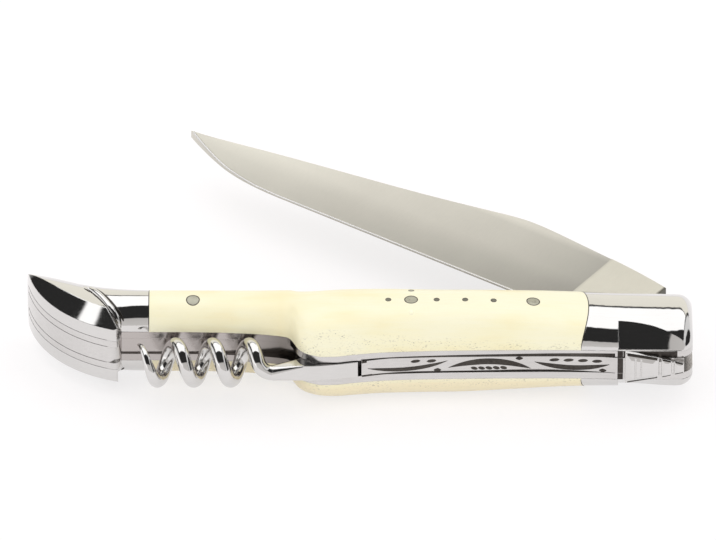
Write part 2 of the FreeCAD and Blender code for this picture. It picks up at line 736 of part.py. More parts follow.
def engraving_prisms():
    """Upright forms of the engraved crescents, nicks and dots, standing through the spring's back."""
    width = value("slot_width")
    curves = []
    for first, first_height, last, last_height, outer, inner in CRESCENT_SHARES:
        ends = [Vector(along(first), width * first_height, 0), Vector(along(last), width * last_height, 0)]
        curves += leaf(*ends, width * outer, width * inner)
    half_nick = value("nick_width") / 2
    for first, last, count, foot, top in NICK_ROW_SHARES:
        for step in range(count):
            x = along(first + (last - first) * step / (count - 1))
            ends = [Vector(x, width * foot, 0), Vector(x + value("nick_lean"), width * top, 0)]
            curves += leaf(*ends, half_nick, -half_nick)
    curves += [circle(Vector(along(place), width * rise, 0), value("dot_diameter"))
               for place, rise in DOT_SHARES]
    body = plan_body("engraving_body")
    sketch = sketch_on(body, "engraving_plan", "XZ_Plane", curves,
                       f"sizes.handle_width * {SPRING_PIN_SHARE} + sizes.spring_pin_diameter / 2")
    pad(body, "engraving_forms", sketch, "sizes.engraving_reach").AllowMultiFace = True
    return body


def make_backspring():
    """One bar between the liners, from the nose under the fly to the butt."""
    body = plan_body("spring_body")
    head_back = -side(HEAD_BACK_SHARE)
    shoulder_x = half_length - value("scoop_from_head")
    step = Vector(screw_pivot.x + recess_radius, screw_back, 0)
    step_foot = polar(screw_pivot, recess_radius, 0)
    back = [Vector(along(x), side(y), 0) for x, y in reversed(SPRING_BACK_SHARES)]
    recess_end = polar(screw_pivot, recess_radius, RECESS_END_ANGLE)
    floor = -side(NOTCH_FLOOR_SHARE)
    floor_start = Vector(along(HANDLE_STATION_SHARES[3][0]), floor, 0)
    notch_end = Vector(value("notch_end_from_tail") - half_length, floor, 0)
    tip, butt, corner = butt_outline(value("spring_corner_round"))
    drop = Vector(0, -value("edge_clearance"), 0)
    straight_end, *curve = [shut_point(x, y) + drop for x, y in reversed(EDGE_CURVE_SHARES)]
    wall_x = value("tail_wall") - half_length
    mouth = Vector(wall_x, side(TAIL_FAR_SHARES[-2][1]) - value("edge_clearance"), 0)
    lip_foot = Vector(wall_x, shut_point(*TIP_SHARES).y - 2 * value("edge_clearance"), 0)
    tang_floor = pivot.y - value("tang_radius") - value("tang_clearance")
    ramp_foot = Vector(nose_x - value("nose_length"), tang_floor, 0)
    ramp_top = shut_point((pivot.x - ramp_foot.x + value("ramp_length")) / blade_reach, 0) + drop
    nose = Vector(nose_x, tang_floor, 0)
    shoulder = Vector(shoulder_x, head_back, 0)
    curves = chain([nose, Vector(nose_x, head_back, 0), shoulder])
    curves.append(spline([shoulder] + back + [step]))
    curves.append(Part.LineSegment(step, step_foot))
    curves.append(arc_about(screw_pivot, recess_radius, 0, RECESS_END_ANGLE))
    curves += chain([recess_end, floor_start, notch_end, corner])
    curves += butt
    curves += chain([tip, mouth, lip_foot])
    curves.append(spline([lip_foot] + list(reversed(curve)) + [straight_end]))
    curves += chain([straight_end, ramp_top, ramp_foot, nose])
    curves.append(circle(spring_pin, value("spring_pin_diameter")))
    curves.append(circle(tail_pin, value("spring_pin_diameter")))
    pad(body, "spring_bar", sketch_on(body, "spring_plan", "XY_Plane", curves), "sizes.slot_width",
        midplane=True)
    sunk = doc.addObject("Part::Compound", "spring_sunk")
    sunk.Links = [body]
    sunk.setExpression("Placement.Base.y", "sizes.engraving_depth")
    engraving = boolean("Cut", "spring_engraving", engraving_prisms(), sunk)
    node("backspring", boolean("Cut", "spring_engraved", body, engraving))


def make_fly():
    """Stepped, bevelled thumb catch on the head end of the backspring."""
    body = plan_body("fly_body")
    start_x = half_length - value("fly_from_head")
    length = value("fly_length")
    half = value("fly_half_width")
    seat = f"sizes.handle_width * {HEAD_BACK_SHARE}"
    base = (0.0, 1.0, *FLY_TIER_SHARES[-1][2:4], value("fly_base_height") / value("fly_height"), 0.0)
    for index, (start, end, wide, narrow, height, bevel) in enumerate((base, *FLY_TIER_SHARES)):
        corners = [Vector(start_x + length * start, -half * wide, 0),
                   Vector(start_x + length * end, -half * narrow, 0)]
        corners += [Vector(corner.x, -corner.y, 0) for corner in reversed(corners)]
        wall = f"sizes.fly_height * ({height} - {bevel})"
        tier = sketch_on(body, f"fly_plan_{index}", "XZ_Plane", ring_points(corners), seat)
        pad(body, f"fly_tier_{index}", tier, wall)
        if bevel:
            crown = sketch_on(body, f"fly_crown_{index}", "XZ_Plane", ring_points(corners),
                              f"{seat} + {wall}")
            pad(body, f"fly_bevel_{index}", crown, f"sizes.fly_height * {bevel}", taper=FLY_TAPER_ANGLE)
    lines = []
    for share in FLY_LINE_SHARES:
        low = start_x + length * share
        high = low + value("fly_line_width")
        lines += ring_points([Vector(low, -half, 0), Vector(high, -half, 0), Vector(high, half, 0),
                              Vector(low, half, 0)])
    top = sketch_on(body, "fly_line_plan", "XZ_Plane", lines, f"{seat} + sizes.fly_height")
    doc.recompute()
    scored = body.newObject("PartDesign::Pocket", "fly_lines")
    scored.Profile = top
    scored.setExpression("Length", "sizes.fly_line_depth")
    node("fly", body)


def tangent_arc(start, heading, end):
    """Arc that leaves a point along a heading and ends at another point, and its radius."""
    chord = end - start
    across = chord - heading * chord.dot(heading)
    radius = chord.dot(chord) / (2 * across.Length)
    centre = start + across.normalize() * radius
    crown = centre + ((start + end) * 0.5 - centre).normalize() * radius
    return Part.Arc(start, crown, end).toShape(), radius


def biarc(start, start_heading, end, end_heading):
    """Two arcs that join two points smoothly along given headings, and the smaller radius."""
    chord = end - start
    square = 2 * (1 - start_heading.dot(end_heading))
    linear = 2 * chord.dot(start_heading + end_heading)
    reach = (math.sqrt(linear ** 2 + 4 * square * chord.dot(chord)) - linear) / (2 * square)
    first_knee = start + start_heading * reach
    last_knee = end - end_heading * reach
    joint = (first_knee + last_knee) * 0.5
    first, first_radius = tangent_arc(start, start_heading, joint)
    last, last_radius = tangent_arc(joint, (last_knee - first_knee).normalize(), end)
    return [first, last], min(first_radius, last_radius)


def helix_point(angle, origin_x, pitch, radius):
    """Point on the worm's centre line and its heading, at an angle in degrees."""
    turn = math.radians(angle)
    centre = Vector(origin_x + pitch * angle / 360, -side(WORM_AXIS_SHARE), 0)
    place = centre + Vector(0, radius * math.cos(turn), radius * math.sin(turn))
    heading = Vector(pitch / (2 * math.pi), -radius * math.sin(turn), radius * math.cos(turn))
    return place, heading.normalize()


def wire_section(place, heading, diameter):
    """Round section of the worm's wire across its path."""
    return Part.Wire([Part.makeCircle(diameter / 2, place, heading)])


def bar_section(x, y, half_deep, half_thick, corner):
    """Rounded rectangle across the shank."""
    flat_y = half_deep - corner
    flat_z = half_thick - corner
    edges = []
    for quarter in range(4):
        turns = [math.radians(90 * quarter + step) for step in (0, 45, 90)]
        hub_y = flat_y if quarter in (0, 3) else -flat_y
        hub_z = flat_z if quarter in (0, 1) else -flat_z
        round_points = [Vector(x, y + hub_y + corner * math.cos(turn), hub_z + corner * math.sin(turn))
                        for turn in turns]
        edges.append(Part.Arc(*round_points).toShape())
    ends = [(edge.lastVertex().Point, after.firstVertex().Point)
            for edge, after in zip(edges, edges[1:] + edges[:1])]
    joined = [item for edge, end in zip(edges, ends) for item in (edge, Part.LineSegment(*end).toShape())]
    return Part.Wire(joined)


def make_corkscrew():
    """Corkscrew: a tapered worm, a bend into a flat shank and a root with its pivot hole."""
    radius = (value("worm_diameter") - value("wire_diameter")) / 2
    joint = Vector(screw_pivot.x - value("shank_length"), -side(WORM_AXIS_SHARE) - radius, 0)
    helix_end = joint.x - value("worm_bend_length")
    tip_x = value("notch_end_from_tail") - half_length + value("worm_tip_clearance")
    pitch = (helix_end - tip_x) / WORM_TURNS
    first_angle = WORM_END_ANGLE - 360 * WORM_TURNS
    origin_x = helix_end - pitch * WORM_END_ANGLE / 360
    quarters = round(4 * WORM_TURNS)
    stops = [helix_point(first_angle + 90 * step, origin_x, pitch, radius) for step in range(quarters + 1)]
    stops.append((joint, Vector(1, 0, 0)))
    arcs = []
    radii = []
    for (start, start_heading), (end, end_heading) in zip(stops, stops[1:]):
        pair, least = biarc(start, start_heading, end, end_heading)
        arcs.append(pair)
        radii.append(least)
    tapered = Part.Wire([edge for pair in arcs[:2] for edge in pair])
    steady = Part.Wire([edge for pair in arcs[2:] for edge in pair])
    point = wire_section(*stops[0], value("worm_tip_diameter"))
    full = wire_section(*stops[2], value("wire_diameter"))
    tip = tapered.makePipeShell([point, full], True, False)
    coil = steady.makePipeShell([full], True, False)
    gap = pitch * math.cos(math.atan(pitch / (2 * math.pi * radius))) - value("wire_diameter")
    print("worm: least bend radius", round(min(radii), 2), "gap between turns", round(gap, 2))

    half_thick = slot_half - value("side_clearance")
    half_deep = value("shank_thickness") / 2
    half_wire = value("wire_diameter") / 2
    bar_x = joint.x + value("shank_taper_length")
    bar_y = screw_back - value("shank_swell") + half_deep
    thin = bar_section(joint.x, joint.y, half_wire, half_wire, half_wire * WIRE_CORNER_SHARE)
    thick = bar_section(bar_x, bar_y, half_deep, half_thick, half_thick * BAR_CORNER_SHARE)
    bar = Part.makeLoft([thin, thick], True, True)
    reach = value("root_reach")
    heel = polar(screw_pivot, reach, 0)
    crown = polar(screw_pivot, reach, ROOT_CROWN_ANGLE)
    back_end = Vector(heel.x, screw_back, 0)
    inner = Vector(bar_x, bar_y + half_deep, 0)
    outer = Vector(bar_x, bar_y - half_deep, 0)
    middle = (outer + back_end) * 0.5 - Vector(0, value("shank_swell") * BACK_BOW_SHARE, 0)
    edges = [Part.Arc(outer, middle, back_end).toShape(), Part.LineSegment(back_end, heel).toShape()]
    edges.append(arc_about(screw_pivot, reach, 0, ROOT_CROWN_ANGLE).toShape())
    edges += [Part.LineSegment(crown, inner).toShape(), Part.LineSegment(inner, outer).toShape()]
    plate = Part.Face(Part.Wire(edges))
    plate.translate(Vector(0, 0, -half_thick))
    root = plate.extrude(Vector(0, 0, 2 * half_thick))
    bore = Part.makeCylinder(value("screw_pin_diameter") / 2 + value("pin_clearance"), 2 * slot_half,
                             screw_pivot - Vector(0, 0, slot_half))
    piece = doc.addObject("Part::Feature", "corkscrew_form")
    piece.Shape = tip.fuse([coil, bar, root]).cut(bore).removeSplitter()
    piece.setExpression("Placement.Base.z", MID)
    node("corkscrew", piece)


def report_states():
    """Stop if any object failed or any piece is empty or broken."""
    failed = [item.Name for item in doc.Objects if {"Invalid", "Error"} & set(item.State)]
    broken = [name for name, piece in nodes.items() if piece.Shape.isNull() or not piece.Shape.isValid()]
    if failed or broken:
        raise RuntimeError(f"failed objects {failed}, broken pieces {broken}")


def export():
    """Write each piece to its own file."""
    os.makedirs("parts", exist_ok=True)
    for name, piece in nodes.items():
        piece.Shape.exportStep(f"parts/{name}.step")
        print(name, len(piece.Shape.Solids), round(piece.Shape.Volume, 2))


make_pins()
make_liners()
handle_form = station_form("handle_form", HANDLE_STATION_SHARES, value("scale_rise"), HANDLE_SECTION_COUNT)
make_scales(handle_form)
make_head_bolsters()
make_tail_bolsters()
make_blade()
make_backspring()
make_fly()
make_corkscrew()
doc.recompute()
report_states()
export()
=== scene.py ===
"""Dress of a folding pocket knife: bone scales, polished bolsters, satin blade and folding corkscrew.

Lengths are millimetres unless a name says otherwise. +X runs along the handle to the head and +Y to the blade's
side, and heights are counted from the knife's mid-plane, which lies MID_HEIGHT over the resting face.
"""
import logging
import math
from dataclasses import dataclass
from enum import Enum

import bmesh
import bpy
import numpy as np
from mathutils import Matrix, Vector
from mathutils.bvhtree import BVHTree


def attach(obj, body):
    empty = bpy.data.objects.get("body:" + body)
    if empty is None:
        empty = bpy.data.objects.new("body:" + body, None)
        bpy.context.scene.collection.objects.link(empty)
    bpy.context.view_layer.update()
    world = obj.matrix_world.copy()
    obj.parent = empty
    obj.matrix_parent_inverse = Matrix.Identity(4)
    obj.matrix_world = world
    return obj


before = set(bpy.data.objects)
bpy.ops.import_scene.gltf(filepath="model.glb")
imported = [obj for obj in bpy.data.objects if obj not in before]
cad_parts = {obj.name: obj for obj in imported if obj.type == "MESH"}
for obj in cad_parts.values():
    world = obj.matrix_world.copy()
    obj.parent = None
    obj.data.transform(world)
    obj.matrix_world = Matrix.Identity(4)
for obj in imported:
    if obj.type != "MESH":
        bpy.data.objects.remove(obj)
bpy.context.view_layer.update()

LOG = logging.getLogger("pocket_knife")
Socket = bpy.types.NodeSocket
Material = bpy.types.Material

# Sizes that the CAD solids have too
MM = 0.001
MID_HEIGHT = 9.05
HALF_SLOT = 1.7
LINER_FACE = 3.1
HANDLE_LENGTH = 120.0
BLADE_WIDTH = 18.3
BLADE_REST_ANGLE = 35.2

# Points round and along the sweeps, and how meshes and edges are finished
PROFILE_STEPS = 12
CURVE_STEPS = 12
SHORT_STEPS = 20
RING_STEPS = 40
LINE_STEPS = 60
LONG_STEPS = 80
WELD_METRES = 1e-7
ROUNDING_SAMPLES = 6

# Middle of a colour ramp, and its share per millimetre along and across the handle
RAMP_MIDDLE = 0.5
RAMP_ALONG = 0.01
RAMP_ACROSS = 0.1
WHITE = (1.0, 1.0, 1.0)

HEADWARD = np.array([1.0, 0.0, 0.0])
BACKWARD = np.array([0.0, -1.0, 0.0])
UPWARD = np.array([0.0, 0.0, 1.0])


class Body(str, Enum):
    """Bodies of the frame that a piece may ride on."""

    HANDLE = "handle"
    BLADE = "blade"


class Slot(str, Enum):
    """Finish slots of the record."""

    BLADE = "blade_steel"
    POLISHED = "polished_steel"
    SPRING = "spring_steel"
    PIN = "pin_steel"


class Side(int, Enum):
    """Upper and lower side of the mid-plane."""

    UPPER = 1
    LOWER = -1


def opaque(colour: tuple) -> tuple:
    """Colour with its full alpha."""
    return (*colour, 1.0)


class Graph:
    """Node tree with a short way to add and join nodes."""

    def __init__(self, tree: bpy.types.NodeTree) -> None:
        """Start on the emptied tree of a material or a world."""
        self.tree = tree
        tree.nodes.clear()

    def add(self, kind: str, inputs: dict | None = None, **settings) -> bpy.types.Node:
        """Add one node.

        Args:
            kind: the node's type name, without its ShaderNode prefix.
            inputs: socket name or index to a value or to an output socket.
            **settings: attributes of the node.

        Returns:
            The new node.
        """
        node = self.tree.nodes.new("ShaderNode" + kind)
        for key, value in settings.items():
            setattr(node, key, value)
        self.feed(node, inputs or {})
        return node

    def feed(self, node: bpy.types.Node, inputs: dict) -> None:
        """Set a node's inputs to values, or link them to output sockets."""
        for key, value in inputs.items():
            if isinstance(value, Socket):
                self.tree.links.new(value, node.inputs[key])
            else:
                node.inputs[key].default_value = value

    def math(self, operation: str, *values) -> Socket:
        """Value of one sum.

        Args:
            operation: the math node's operation.
            *values: numbers or sockets, in order.

        Returns:
            The value socket.
        """
        return self.add("Math", dict(enumerate(values)), operation=operation).outputs[0]

    def ramp(self, value: Socket, stops: tuple) -> Socket:
        """Colour ramp over a value.

        Args:
            value: what the ramp reads.
            stops: pairs of place and colour or grey.

        Returns:
            The colour socket.
        """
        node = self.add("ValToRGB", {0: value})
        elements = node.color_ramp.elements
        while len(elements) < len(stops):
            elements.new(RAMP_MIDDLE)
        for element, (place, colour) in zip(elements, stops):
            element.position = place
            element.color = opaque(colour if isinstance(colour, tuple) else (colour, colour, colour))
        return node.outputs[0]

    def blend(self, share: float | Socket, first: tuple | Socket, second: tuple | Socket,
              mode: str = "MIX") -> Socket:
        """Blend of two colours.

        Args:
            share: number or socket, how much of the second.
            first: colour or socket.
            second: colour or socket.
            mode: blend type.

        Returns:
            The colour socket.
        """
        return self.add("MixRGB", {0: share, 1: first, 2: second}, blend_type=mode).outputs[0]

    def seen_rays(self) -> Socket:
        """One for camera, glossy and transmission rays, which see the background."""
        path = self.add("LightPath").outputs
        bent = self.math("MAXIMUM", path["Is Glossy Ray"], path["Is Transmission Ray"])
        return self.math("MAXIMUM", path["Is Camera Ray"], bent)


class Dress(Graph):
    """Node tree of one material."""

    def __init__(self, name: str) -> None:
        """Start a named material with its output and its shader."""
        self.material = bpy.data.materials.new(name)
        self.material.use_nodes = True
        super().__init__(self.material.node_tree)
        self.output = self.add("OutputMaterial")
        self.shader = self.add("BsdfPrincipled")
        self.feed(self.output, {"Surface": self.shader.outputs[0]})

    def place(self, stretch: tuple = (1.0, 1.0, 1.0), turn: float = 0.0) -> Socket:
        """Object coordinates in millimetres, turned about the upright axis and stretched.

        Args:
            stretch: pattern units per millimetre along the three axes.
            turn: angle in degrees about Z.

        Returns:
            The vector socket.
        """
        coordinates = self.add("TexCoord").outputs["Object"]
        turned = self.add("Mapping", {"Vector": coordinates, "Rotation": (0.0, 0.0, math.radians(turn))})
        scale = tuple(amount / MM for amount in stretch)
        return self.add("Mapping", {"Vector": turned.outputs[0], "Scale": scale}).outputs[0]

    def measure(self, axis: str, per_millimetre: float, start: float = 0.0) -> Socket:
        """Place along one axis, as a ramp reads it.

        Args:
            axis: X, Y or Z.
            per_millimetre: share of the ramp for each millimetre.
            start: place on the ramp at the axis's zero.

        Returns:
            The value socket.
        """
        where = self.add("SeparateXYZ", {0: self.place()}).outputs[axis]
        return self.math("MULTIPLY_ADD", where, per_millimetre, start)

    def noise(self, stretch: tuple, octaves: float = 3.0, turn: float = 0.0) -> Socket:
        """Noise over the object.

        Args:
            stretch: waves per millimetre along the three axes.
            octaves: how many finer noises it holds.
            turn: angle in degrees about Z.

        Returns:
            The value socket.
        """
        inputs = {"Vector": self.place(stretch, turn), "Scale": 1.0, "Detail": octaves}
        return self.add("TexNoise", inputs).outputs[0]

    def tone(self) -> Socket:
        """Socket that the shader's colour comes from."""
        return self.shader.inputs["Base Color"].links[0].from_socket

    def relief(self, height: Socket, depth: float, rounding: float = 0.0) -> None:
        """Fine relief on the shader's normal, over edges that look rounded.

        Args:
            height: the height socket, one unit of which is the depth.
            depth: millimetres.
            rounding: millimetres of edge rounding, or none.
        """
        bump = self.add("Bump", {"Height": height, "Distance": depth * MM})
        if rounding:
            bevel = self.add("Bevel", {"Radius": rounding * MM}, samples=ROUNDING_SAMPLES)
            self.feed(bump, {"Normal": bevel.outputs[0]})
        self.feed(self.shader, {"Normal": bump.outputs[0]})


@dataclass(frozen=True)
class SteelFinish:
    """Steel with a directional grain: mirror polish, satin or brushed."""

    name: str
    dark: tuple
    light: tuple
    smooth: float
    rough: float
    grain: tuple = (0.3, 3.0, 3.0)
    turn: float = 0.0
    depth: float = 0.0008
    rounding: float = 0.0
    grain_octaves: float = 5.0
    cloud: tuple = (0.12, 0.12, 0.12)
    cloud_octaves: float = 2.0
    tone_span: tuple = (0.3, 0.7)
    rough_span: tuple = (0.3, 0.75)

    def brushed(self) -> Dress:
        """Node tree in which a grain noise drives colour, roughness and a fine relief.

        Returns:
            The tree of the new material.
        """
        dress = Dress(self.name)
        grain = dress.noise(self.grain, self.grain_octaves, self.turn)
        cloud = dress.noise(self.cloud, self.cloud_octaves)
        mean = dress.math("DIVIDE", dress.math("ADD", grain, cloud), 2.0)
        tone = dress.ramp(mean, tuple(zip(self.tone_span, (self.dark, self.light))))
        rough = dress.ramp(grain, tuple(zip(self.rough_span, (self.smooth, self.rough))))
        dress.feed(dress.shader, {"Base Color": tone, "Metallic": 1.0, "Roughness": rough})
        dress.relief(grain, self.depth, self.rounding)
        return dress

    def material(self) -> Material:
        """Make the material."""
        return self.brushed().material


@dataclass(frozen=True)
class SpringFinish(SteelFinish):
    """Brushed steel of the spring and liners, with painted shade in the notch that the worm lies in."""

    # Colours of the painted shade under the corkscrew: lighter towards the tail, darker towards the head.
    notch_shade: tuple = ((0.26, (0.50, 0.465, 0.45)), (0.36, (0.22, 0.20, 0.185)))
    notch: tuple = ((0.065, 0.0), (0.075, 1.0), (0.385, 1.0), (0.41, 0.0))
    floor: tuple = ((0.40, 1.0), (0.60, 0.0))

    def material(self) -> Material:
        """Make the brushed steel, then darken it with painted shade between the notch's ends and down to its
        floor.
        """
        dress = self.brushed()
        along = dress.measure("X", RAMP_ALONG, RAMP_MIDDLE)
        across = dress.measure("Y", RAMP_ACROSS, RAMP_MIDDLE)
        notch_shade_share = dress.math("MULTIPLY", dress.ramp(along, self.notch), dress.ramp(across, self.floor))
        tone = dress.blend(notch_shade_share, dress.tone(), dress.ramp(along, self.notch_shade))
        dress.feed(dress.shader, {"Base Color": tone})
        return dress.material


@dataclass(frozen=True)
class PinFinish(SteelFinish):
    """Dark steel of the cross of pins, with a painted glint on the slopes of the scale, the lowest pin most."""

    painted_glint: tuple = (0.86, 0.82, 0.62)
    # Where the painted glint lies across the handle: on the slopes of the scale.
    slope: tuple = ((0.24, 1.0), (0.30, 0.0), (0.70, 0.0), (0.76, 0.35))

    def material(self) -> Material:
        """Make the dark steel, then paint a lighter glint on it down the slopes of the scale."""
        dress = self.brushed()
        glint_share = dress.ramp(dress.measure("Y", RAMP_ACROSS, RAMP_MIDDLE), self.slope)
        tone = dress.blend(glint_share, dress.tone(), opaque(self.painted_glint))
        dress.feed(dress.shader, {"Base Color": tone})
        return dress.material


@dataclass(frozen=True)
class BladeFinish(SteelFinish):
    """Satin of the blade, with painted reflections: lighter to the tip, the spine and on the flat tang, darker
    where the grind begins.
    """

    pivot_along: float = 42.5
    reach: float = 110.0
    edge_across: float = 28.6
    # Painted reflections along the blade, from painted shade at the tang's shoulder to the light towards the tip.
    reflection_tones: tuple = (
        (0.051, (0.12, 0.115, 0.10)), (0.053, (0.695, 0.672, 0.60)), (0.167, (0.695, 0.672, 0.60)),
        (0.171, (0.48, 0.462, 0.415)), (0.25, (0.57, 0.548, 0.491)), (0.35, (0.645, 0.62, 0.556)),
        (0.62, (0.785, 0.754, 0.677)), (0.85, (0.94, 0.909, 0.817)))
    grind: tuple = ((0.167, 0.0), (0.171, 1.0))
    # Painted reflections across the blade, rising to a painted highlight along the spine.
    rise: tuple = ((0.1, 0.61), (0.3, 0.67), (0.5, 0.78), (0.7, 0.81), (0.86, 0.83), (0.94, 1.0))

    def material(self) -> Material:
        """Make the satin steel, then paint reflections on it by the way gone from pivot to tip and from edge to
        spine.
        """
        dress = self.brushed()
        where = dress.add("SeparateXYZ", {0: dress.place(turn=self.turn)}).outputs
        gone = dress.math("DIVIDE", dress.math("SUBTRACT", self.pivot_along, where["X"]), self.reach)
        across = dress.math("DIVIDE", dress.math("SUBTRACT", where["Y"], self.edge_across), BLADE_WIDTH)
        ground, rise = dress.ramp(gone, self.grind), dress.ramp(across, self.rise)
        tone = dress.blend(ground, dress.ramp(gone, self.reflection_tones), rise, "MULTIPLY")
        dress.feed(dress.shader, {"Base Color": dress.blend(1.0, tone, dress.tone(), "MULTIPLY")})
        return dress.material


@dataclass(frozen=True)
class BoneFinish:
    """Polished bone: cream with warm patches, long grain and small grey pores along the back, with warm painted
    shade in the crease before the hump and warm painted bounce light on the lower scale.
    """

    name: str = "bone"
    pale: tuple = (0.97, 0.935, 0.71)
    cream: tuple = (0.965, 0.91, 0.63)
    warm: tuple = (0.95, 0.845, 0.52)
    lower_bounce_tint: tuple = (0.98, 0.86, 0.61)
    pore: tuple = (0.36, 0.33, 0.27)
    patch: tuple = (0.05, 0.14, 0.14)
    patch_span: tuple = (0.34, 0.45, 0.58)
    streak: tuple = (0.12, 2.2, 2.2)
    streak_octaves: float = 4.0
    streak_span: tuple = (0.35, 0.65)
    streak_share: float = 0.35
    # Band along the handle of warm painted shade, in the crease before the hump.
    crease_shade_span: tuple = ((0.29, 0.0), (0.36, 0.6), (0.41, 0.0))
    # Warm painted bounce light from the floor on the lower scale, fading out between these heights.
    lower: tuple = ((0.50, 1.0), (0.62, 0.0))
    lower_bounce_share: float = 0.75
    fleck: tuple = (2.2, 4.5, 4.5)
    fleck_span: tuple = ((0.57, 0.0), (0.68, 1.0))
    back: tuple = ((0.67, 0.06), (0.73, 1.0))
    cluster: tuple = (0.25, 0.6, 0.6)
    cluster_octaves: float = 2.0
    cluster_span: tuple = ((0.40, 0.15), (0.60, 1.0))
    pore_share: float = 0.7
    rough: tuple = ((0.3, 0.30), (0.7, 0.42))
    depth: float = 0.008

    def pores(self, dress: Dress) -> Socket:
        """Pores in clusters, nearly all of them along the back.

        Args:
            dress: the tree that gets them.

        Returns:
            The value socket.
        """
        fleck = dress.ramp(dress.noise(self.fleck), self.fleck_span)
        back = dress.ramp(dress.measure("Y", -RAMP_ACROSS), self.back)
        cluster = dress.ramp(dress.noise(self.cluster, self.cluster_octaves), self.cluster_span)
        return dress.math("MULTIPLY", dress.math("MULTIPLY", fleck, back), cluster)

    def material(self) -> Material:
        """Make the tone from patches, streaks, painted shade, painted bounce light and pores, and the relief from
        streaks and pores.
        """
        dress = Dress(self.name)
        patch = dress.noise(self.patch)
        tone = dress.ramp(patch, tuple(zip(self.patch_span, (self.warm, self.cream, self.pale))))
        streak = dress.noise(self.streak, self.streak_octaves)
        fibre = dress.ramp(streak, tuple(zip(self.streak_span, (self.cream, self.pale))))
        tone = dress.blend(self.streak_share, tone, fibre)
        crease_shade = dress.ramp(dress.measure("X", RAMP_ALONG, RAMP_MIDDLE), self.crease_shade_span)
        tone = dress.blend(crease_shade, tone, opaque(self.warm))
        lower = dress.ramp(dress.measure("Z", RAMP_ACROSS), self.lower)
        tone = dress.blend(dress.math("MULTIPLY", lower, self.lower_bounce_share), tone, opaque(self.lower_bounce_tint))
        pores = self.pores(dress)
        tone = dress.blend(dress.math("MULTIPLY", pores, self.pore_share), tone, opaque(self.pore))
        dress.feed(dress.shader, {"Base Color": tone, "Roughness": dress.ramp(streak, self.rough)})
        dress.relief(dress.math("SUBTRACT", streak, pores), self.depth)
        return dress.material


class Finish(Enum):
    """Finishes of the knife's pieces."""

    MIRROR = SteelFinish("mirror_steel", dark=(0.66, 0.65, 0.64), light=(0.70, 0.69, 0.68),
                         smooth=0.03, rough=0.08, rounding=0.22)
    BRUSHED = SpringFinish("brushed_steel", dark=(0.60, 0.585, 0.575), light=(0.70, 0.685, 0.675),
                           smooth=0.14, rough=0.26, grain=(0.2, 4.0, 4.0), rounding=0.12)
    SATIN = BladeFinish("satin_steel", dark=(0.93, 0.93, 0.93), light=WHITE,
                        smooth=0.28, rough=0.33, grain=(5.0, 0.6, 5.0), turn=BLADE_REST_ANGLE, depth=0.0004)
    PIN = SteelFinish("pin_steel", dark=(0.34, 0.33, 0.27), light=(0.53, 0.52, 0.43),
                      smooth=0.25, rough=0.45, grain=(1.5, 1.5, 1.5))
    CROSS = PinFinish("cross_pin_steel", dark=(0.15, 0.145, 0.12), light=(0.24, 0.235, 0.195),
                      smooth=0.25, rough=0.45, grain=(1.5, 1.5, 1.5))
    # Dark steel of the joints and engraving, and of the painted shade and reflections by the fly.
    GROOVE_AND_SHADE = SteelFinish("darkened_steel", dark=(0.035, 0.03, 0.028), light=(0.11, 0.10, 0.09),
                         smooth=0.30, rough=0.5, grain=(2.0, 2.0, 2.0))
    BONE = BoneFinish()


class Wardrobe:
    """Materials made once and shared by the pieces."""

    def __init__(self) -> None:
        """Start with nothing made."""
        self.made: dict[Finish, Material] = {}

    def get(self, finish: Finish) -> Material:
        """Material of a finish, made at its first use."""
        if finish not in self.made:
            self.made[finish] = finish.value.material()
        return self.made[finish]

    def dress_node(self, name: str, finish: Finish) -> None:
        """Put a finish on the CAD node of that name."""
        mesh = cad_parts[name].data
        mesh.materials.clear()
        mesh.materials.append(self.get(finish))
        LOG.info("dressed %s in %s", name, finish.value.name)


WARDROBE = Wardrobe()


def swept(path: np.ndarray, across: np.ndarray, lift: np.ndarray, half_width: float | np.ndarray,
          height: float | np.ndarray, closed: bool = False) -> np.ndarray:
    """Oval profile carried along a path.

    Each point is the path plus across times half width times cos(a) plus lift times height times sin(a), with a
    going once round. Open sweeps start and end in a pole on the path.

    Args:
        path: places along the sweep, (n, 3).
        across: unit vectors across it, (n, 3) or (3,).
        lift: unit vectors out of the surface, (n, 3) or (3,).
        half_width: half width at each place, or one for all.
        height: half height at each place, or one for all.
        closed: whether the path joins its own start.

    Returns:
        Grid of points, (rows, columns, 3).
    """
    turn = np.linspace(0.0, 2.0 * np.pi, PROFILE_STEPS, endpoint=False)
    count = len(path)
    wide = np.broadcast_to(np.asarray(half_width, float), (count,))[:, None, None]
    tall = np.broadcast_to(np.asarray(height, float), (count,))[:, None, None]
    across = np.broadcast_to(across, (count, 3))[:, None, :]
    lift = np.broadcast_to(lift, (count, 3))[:, None, :]
    ring = path[:, None, :] + across * wide * np.cos(turn)[:, None] + lift * tall * np.sin(turn)[:, None]
    if closed:
        return np.concatenate([ring, ring[:1]])
    ends = [np.repeat(path[at][None, None, :], PROFILE_STEPS, axis=1) for at in (0, -1)]
    return np.concatenate([ends[0], ring, ends[1]])


def unit(vectors: np.ndarray) -> np.ndarray:
    """Vectors at length one."""
    return vectors / np.linalg.norm(vectors, axis=-1, keepdims=True)


def headings(path: np.ndarray) -> np.ndarray:
    """Unit vectors along a path, by central differences."""
    return unit(np.gradient(path, axis=0))


def smooth_path(corners: np.ndarray, steps: int) -> np.ndarray:
    """Smooth curve through corners: a cubic between each two, with slopes taken from their neighbours.

    Args:
        corners: places to pass through, (n, k).
        steps: places between each two corners.

    Returns:
        Places along the curve, (m, k).
    """
    slopes = np.gradient(corners, axis=0)
    at = np.linspace(0, len(corners) - 1, (len(corners) - 1) * steps + 1)
    index = np.minimum(at.astype(int), len(corners) - 2)
    go = (at - index)[:, None]
    start = corners[index] * (1 + 2 * go) * (1 - go) ** 2 + slopes[index] * go * (1 - go) ** 2
    return start + corners[index + 1] * go ** 2 * (3 - 2 * go) - slopes[index + 1] * go ** 2 * (1 - go)


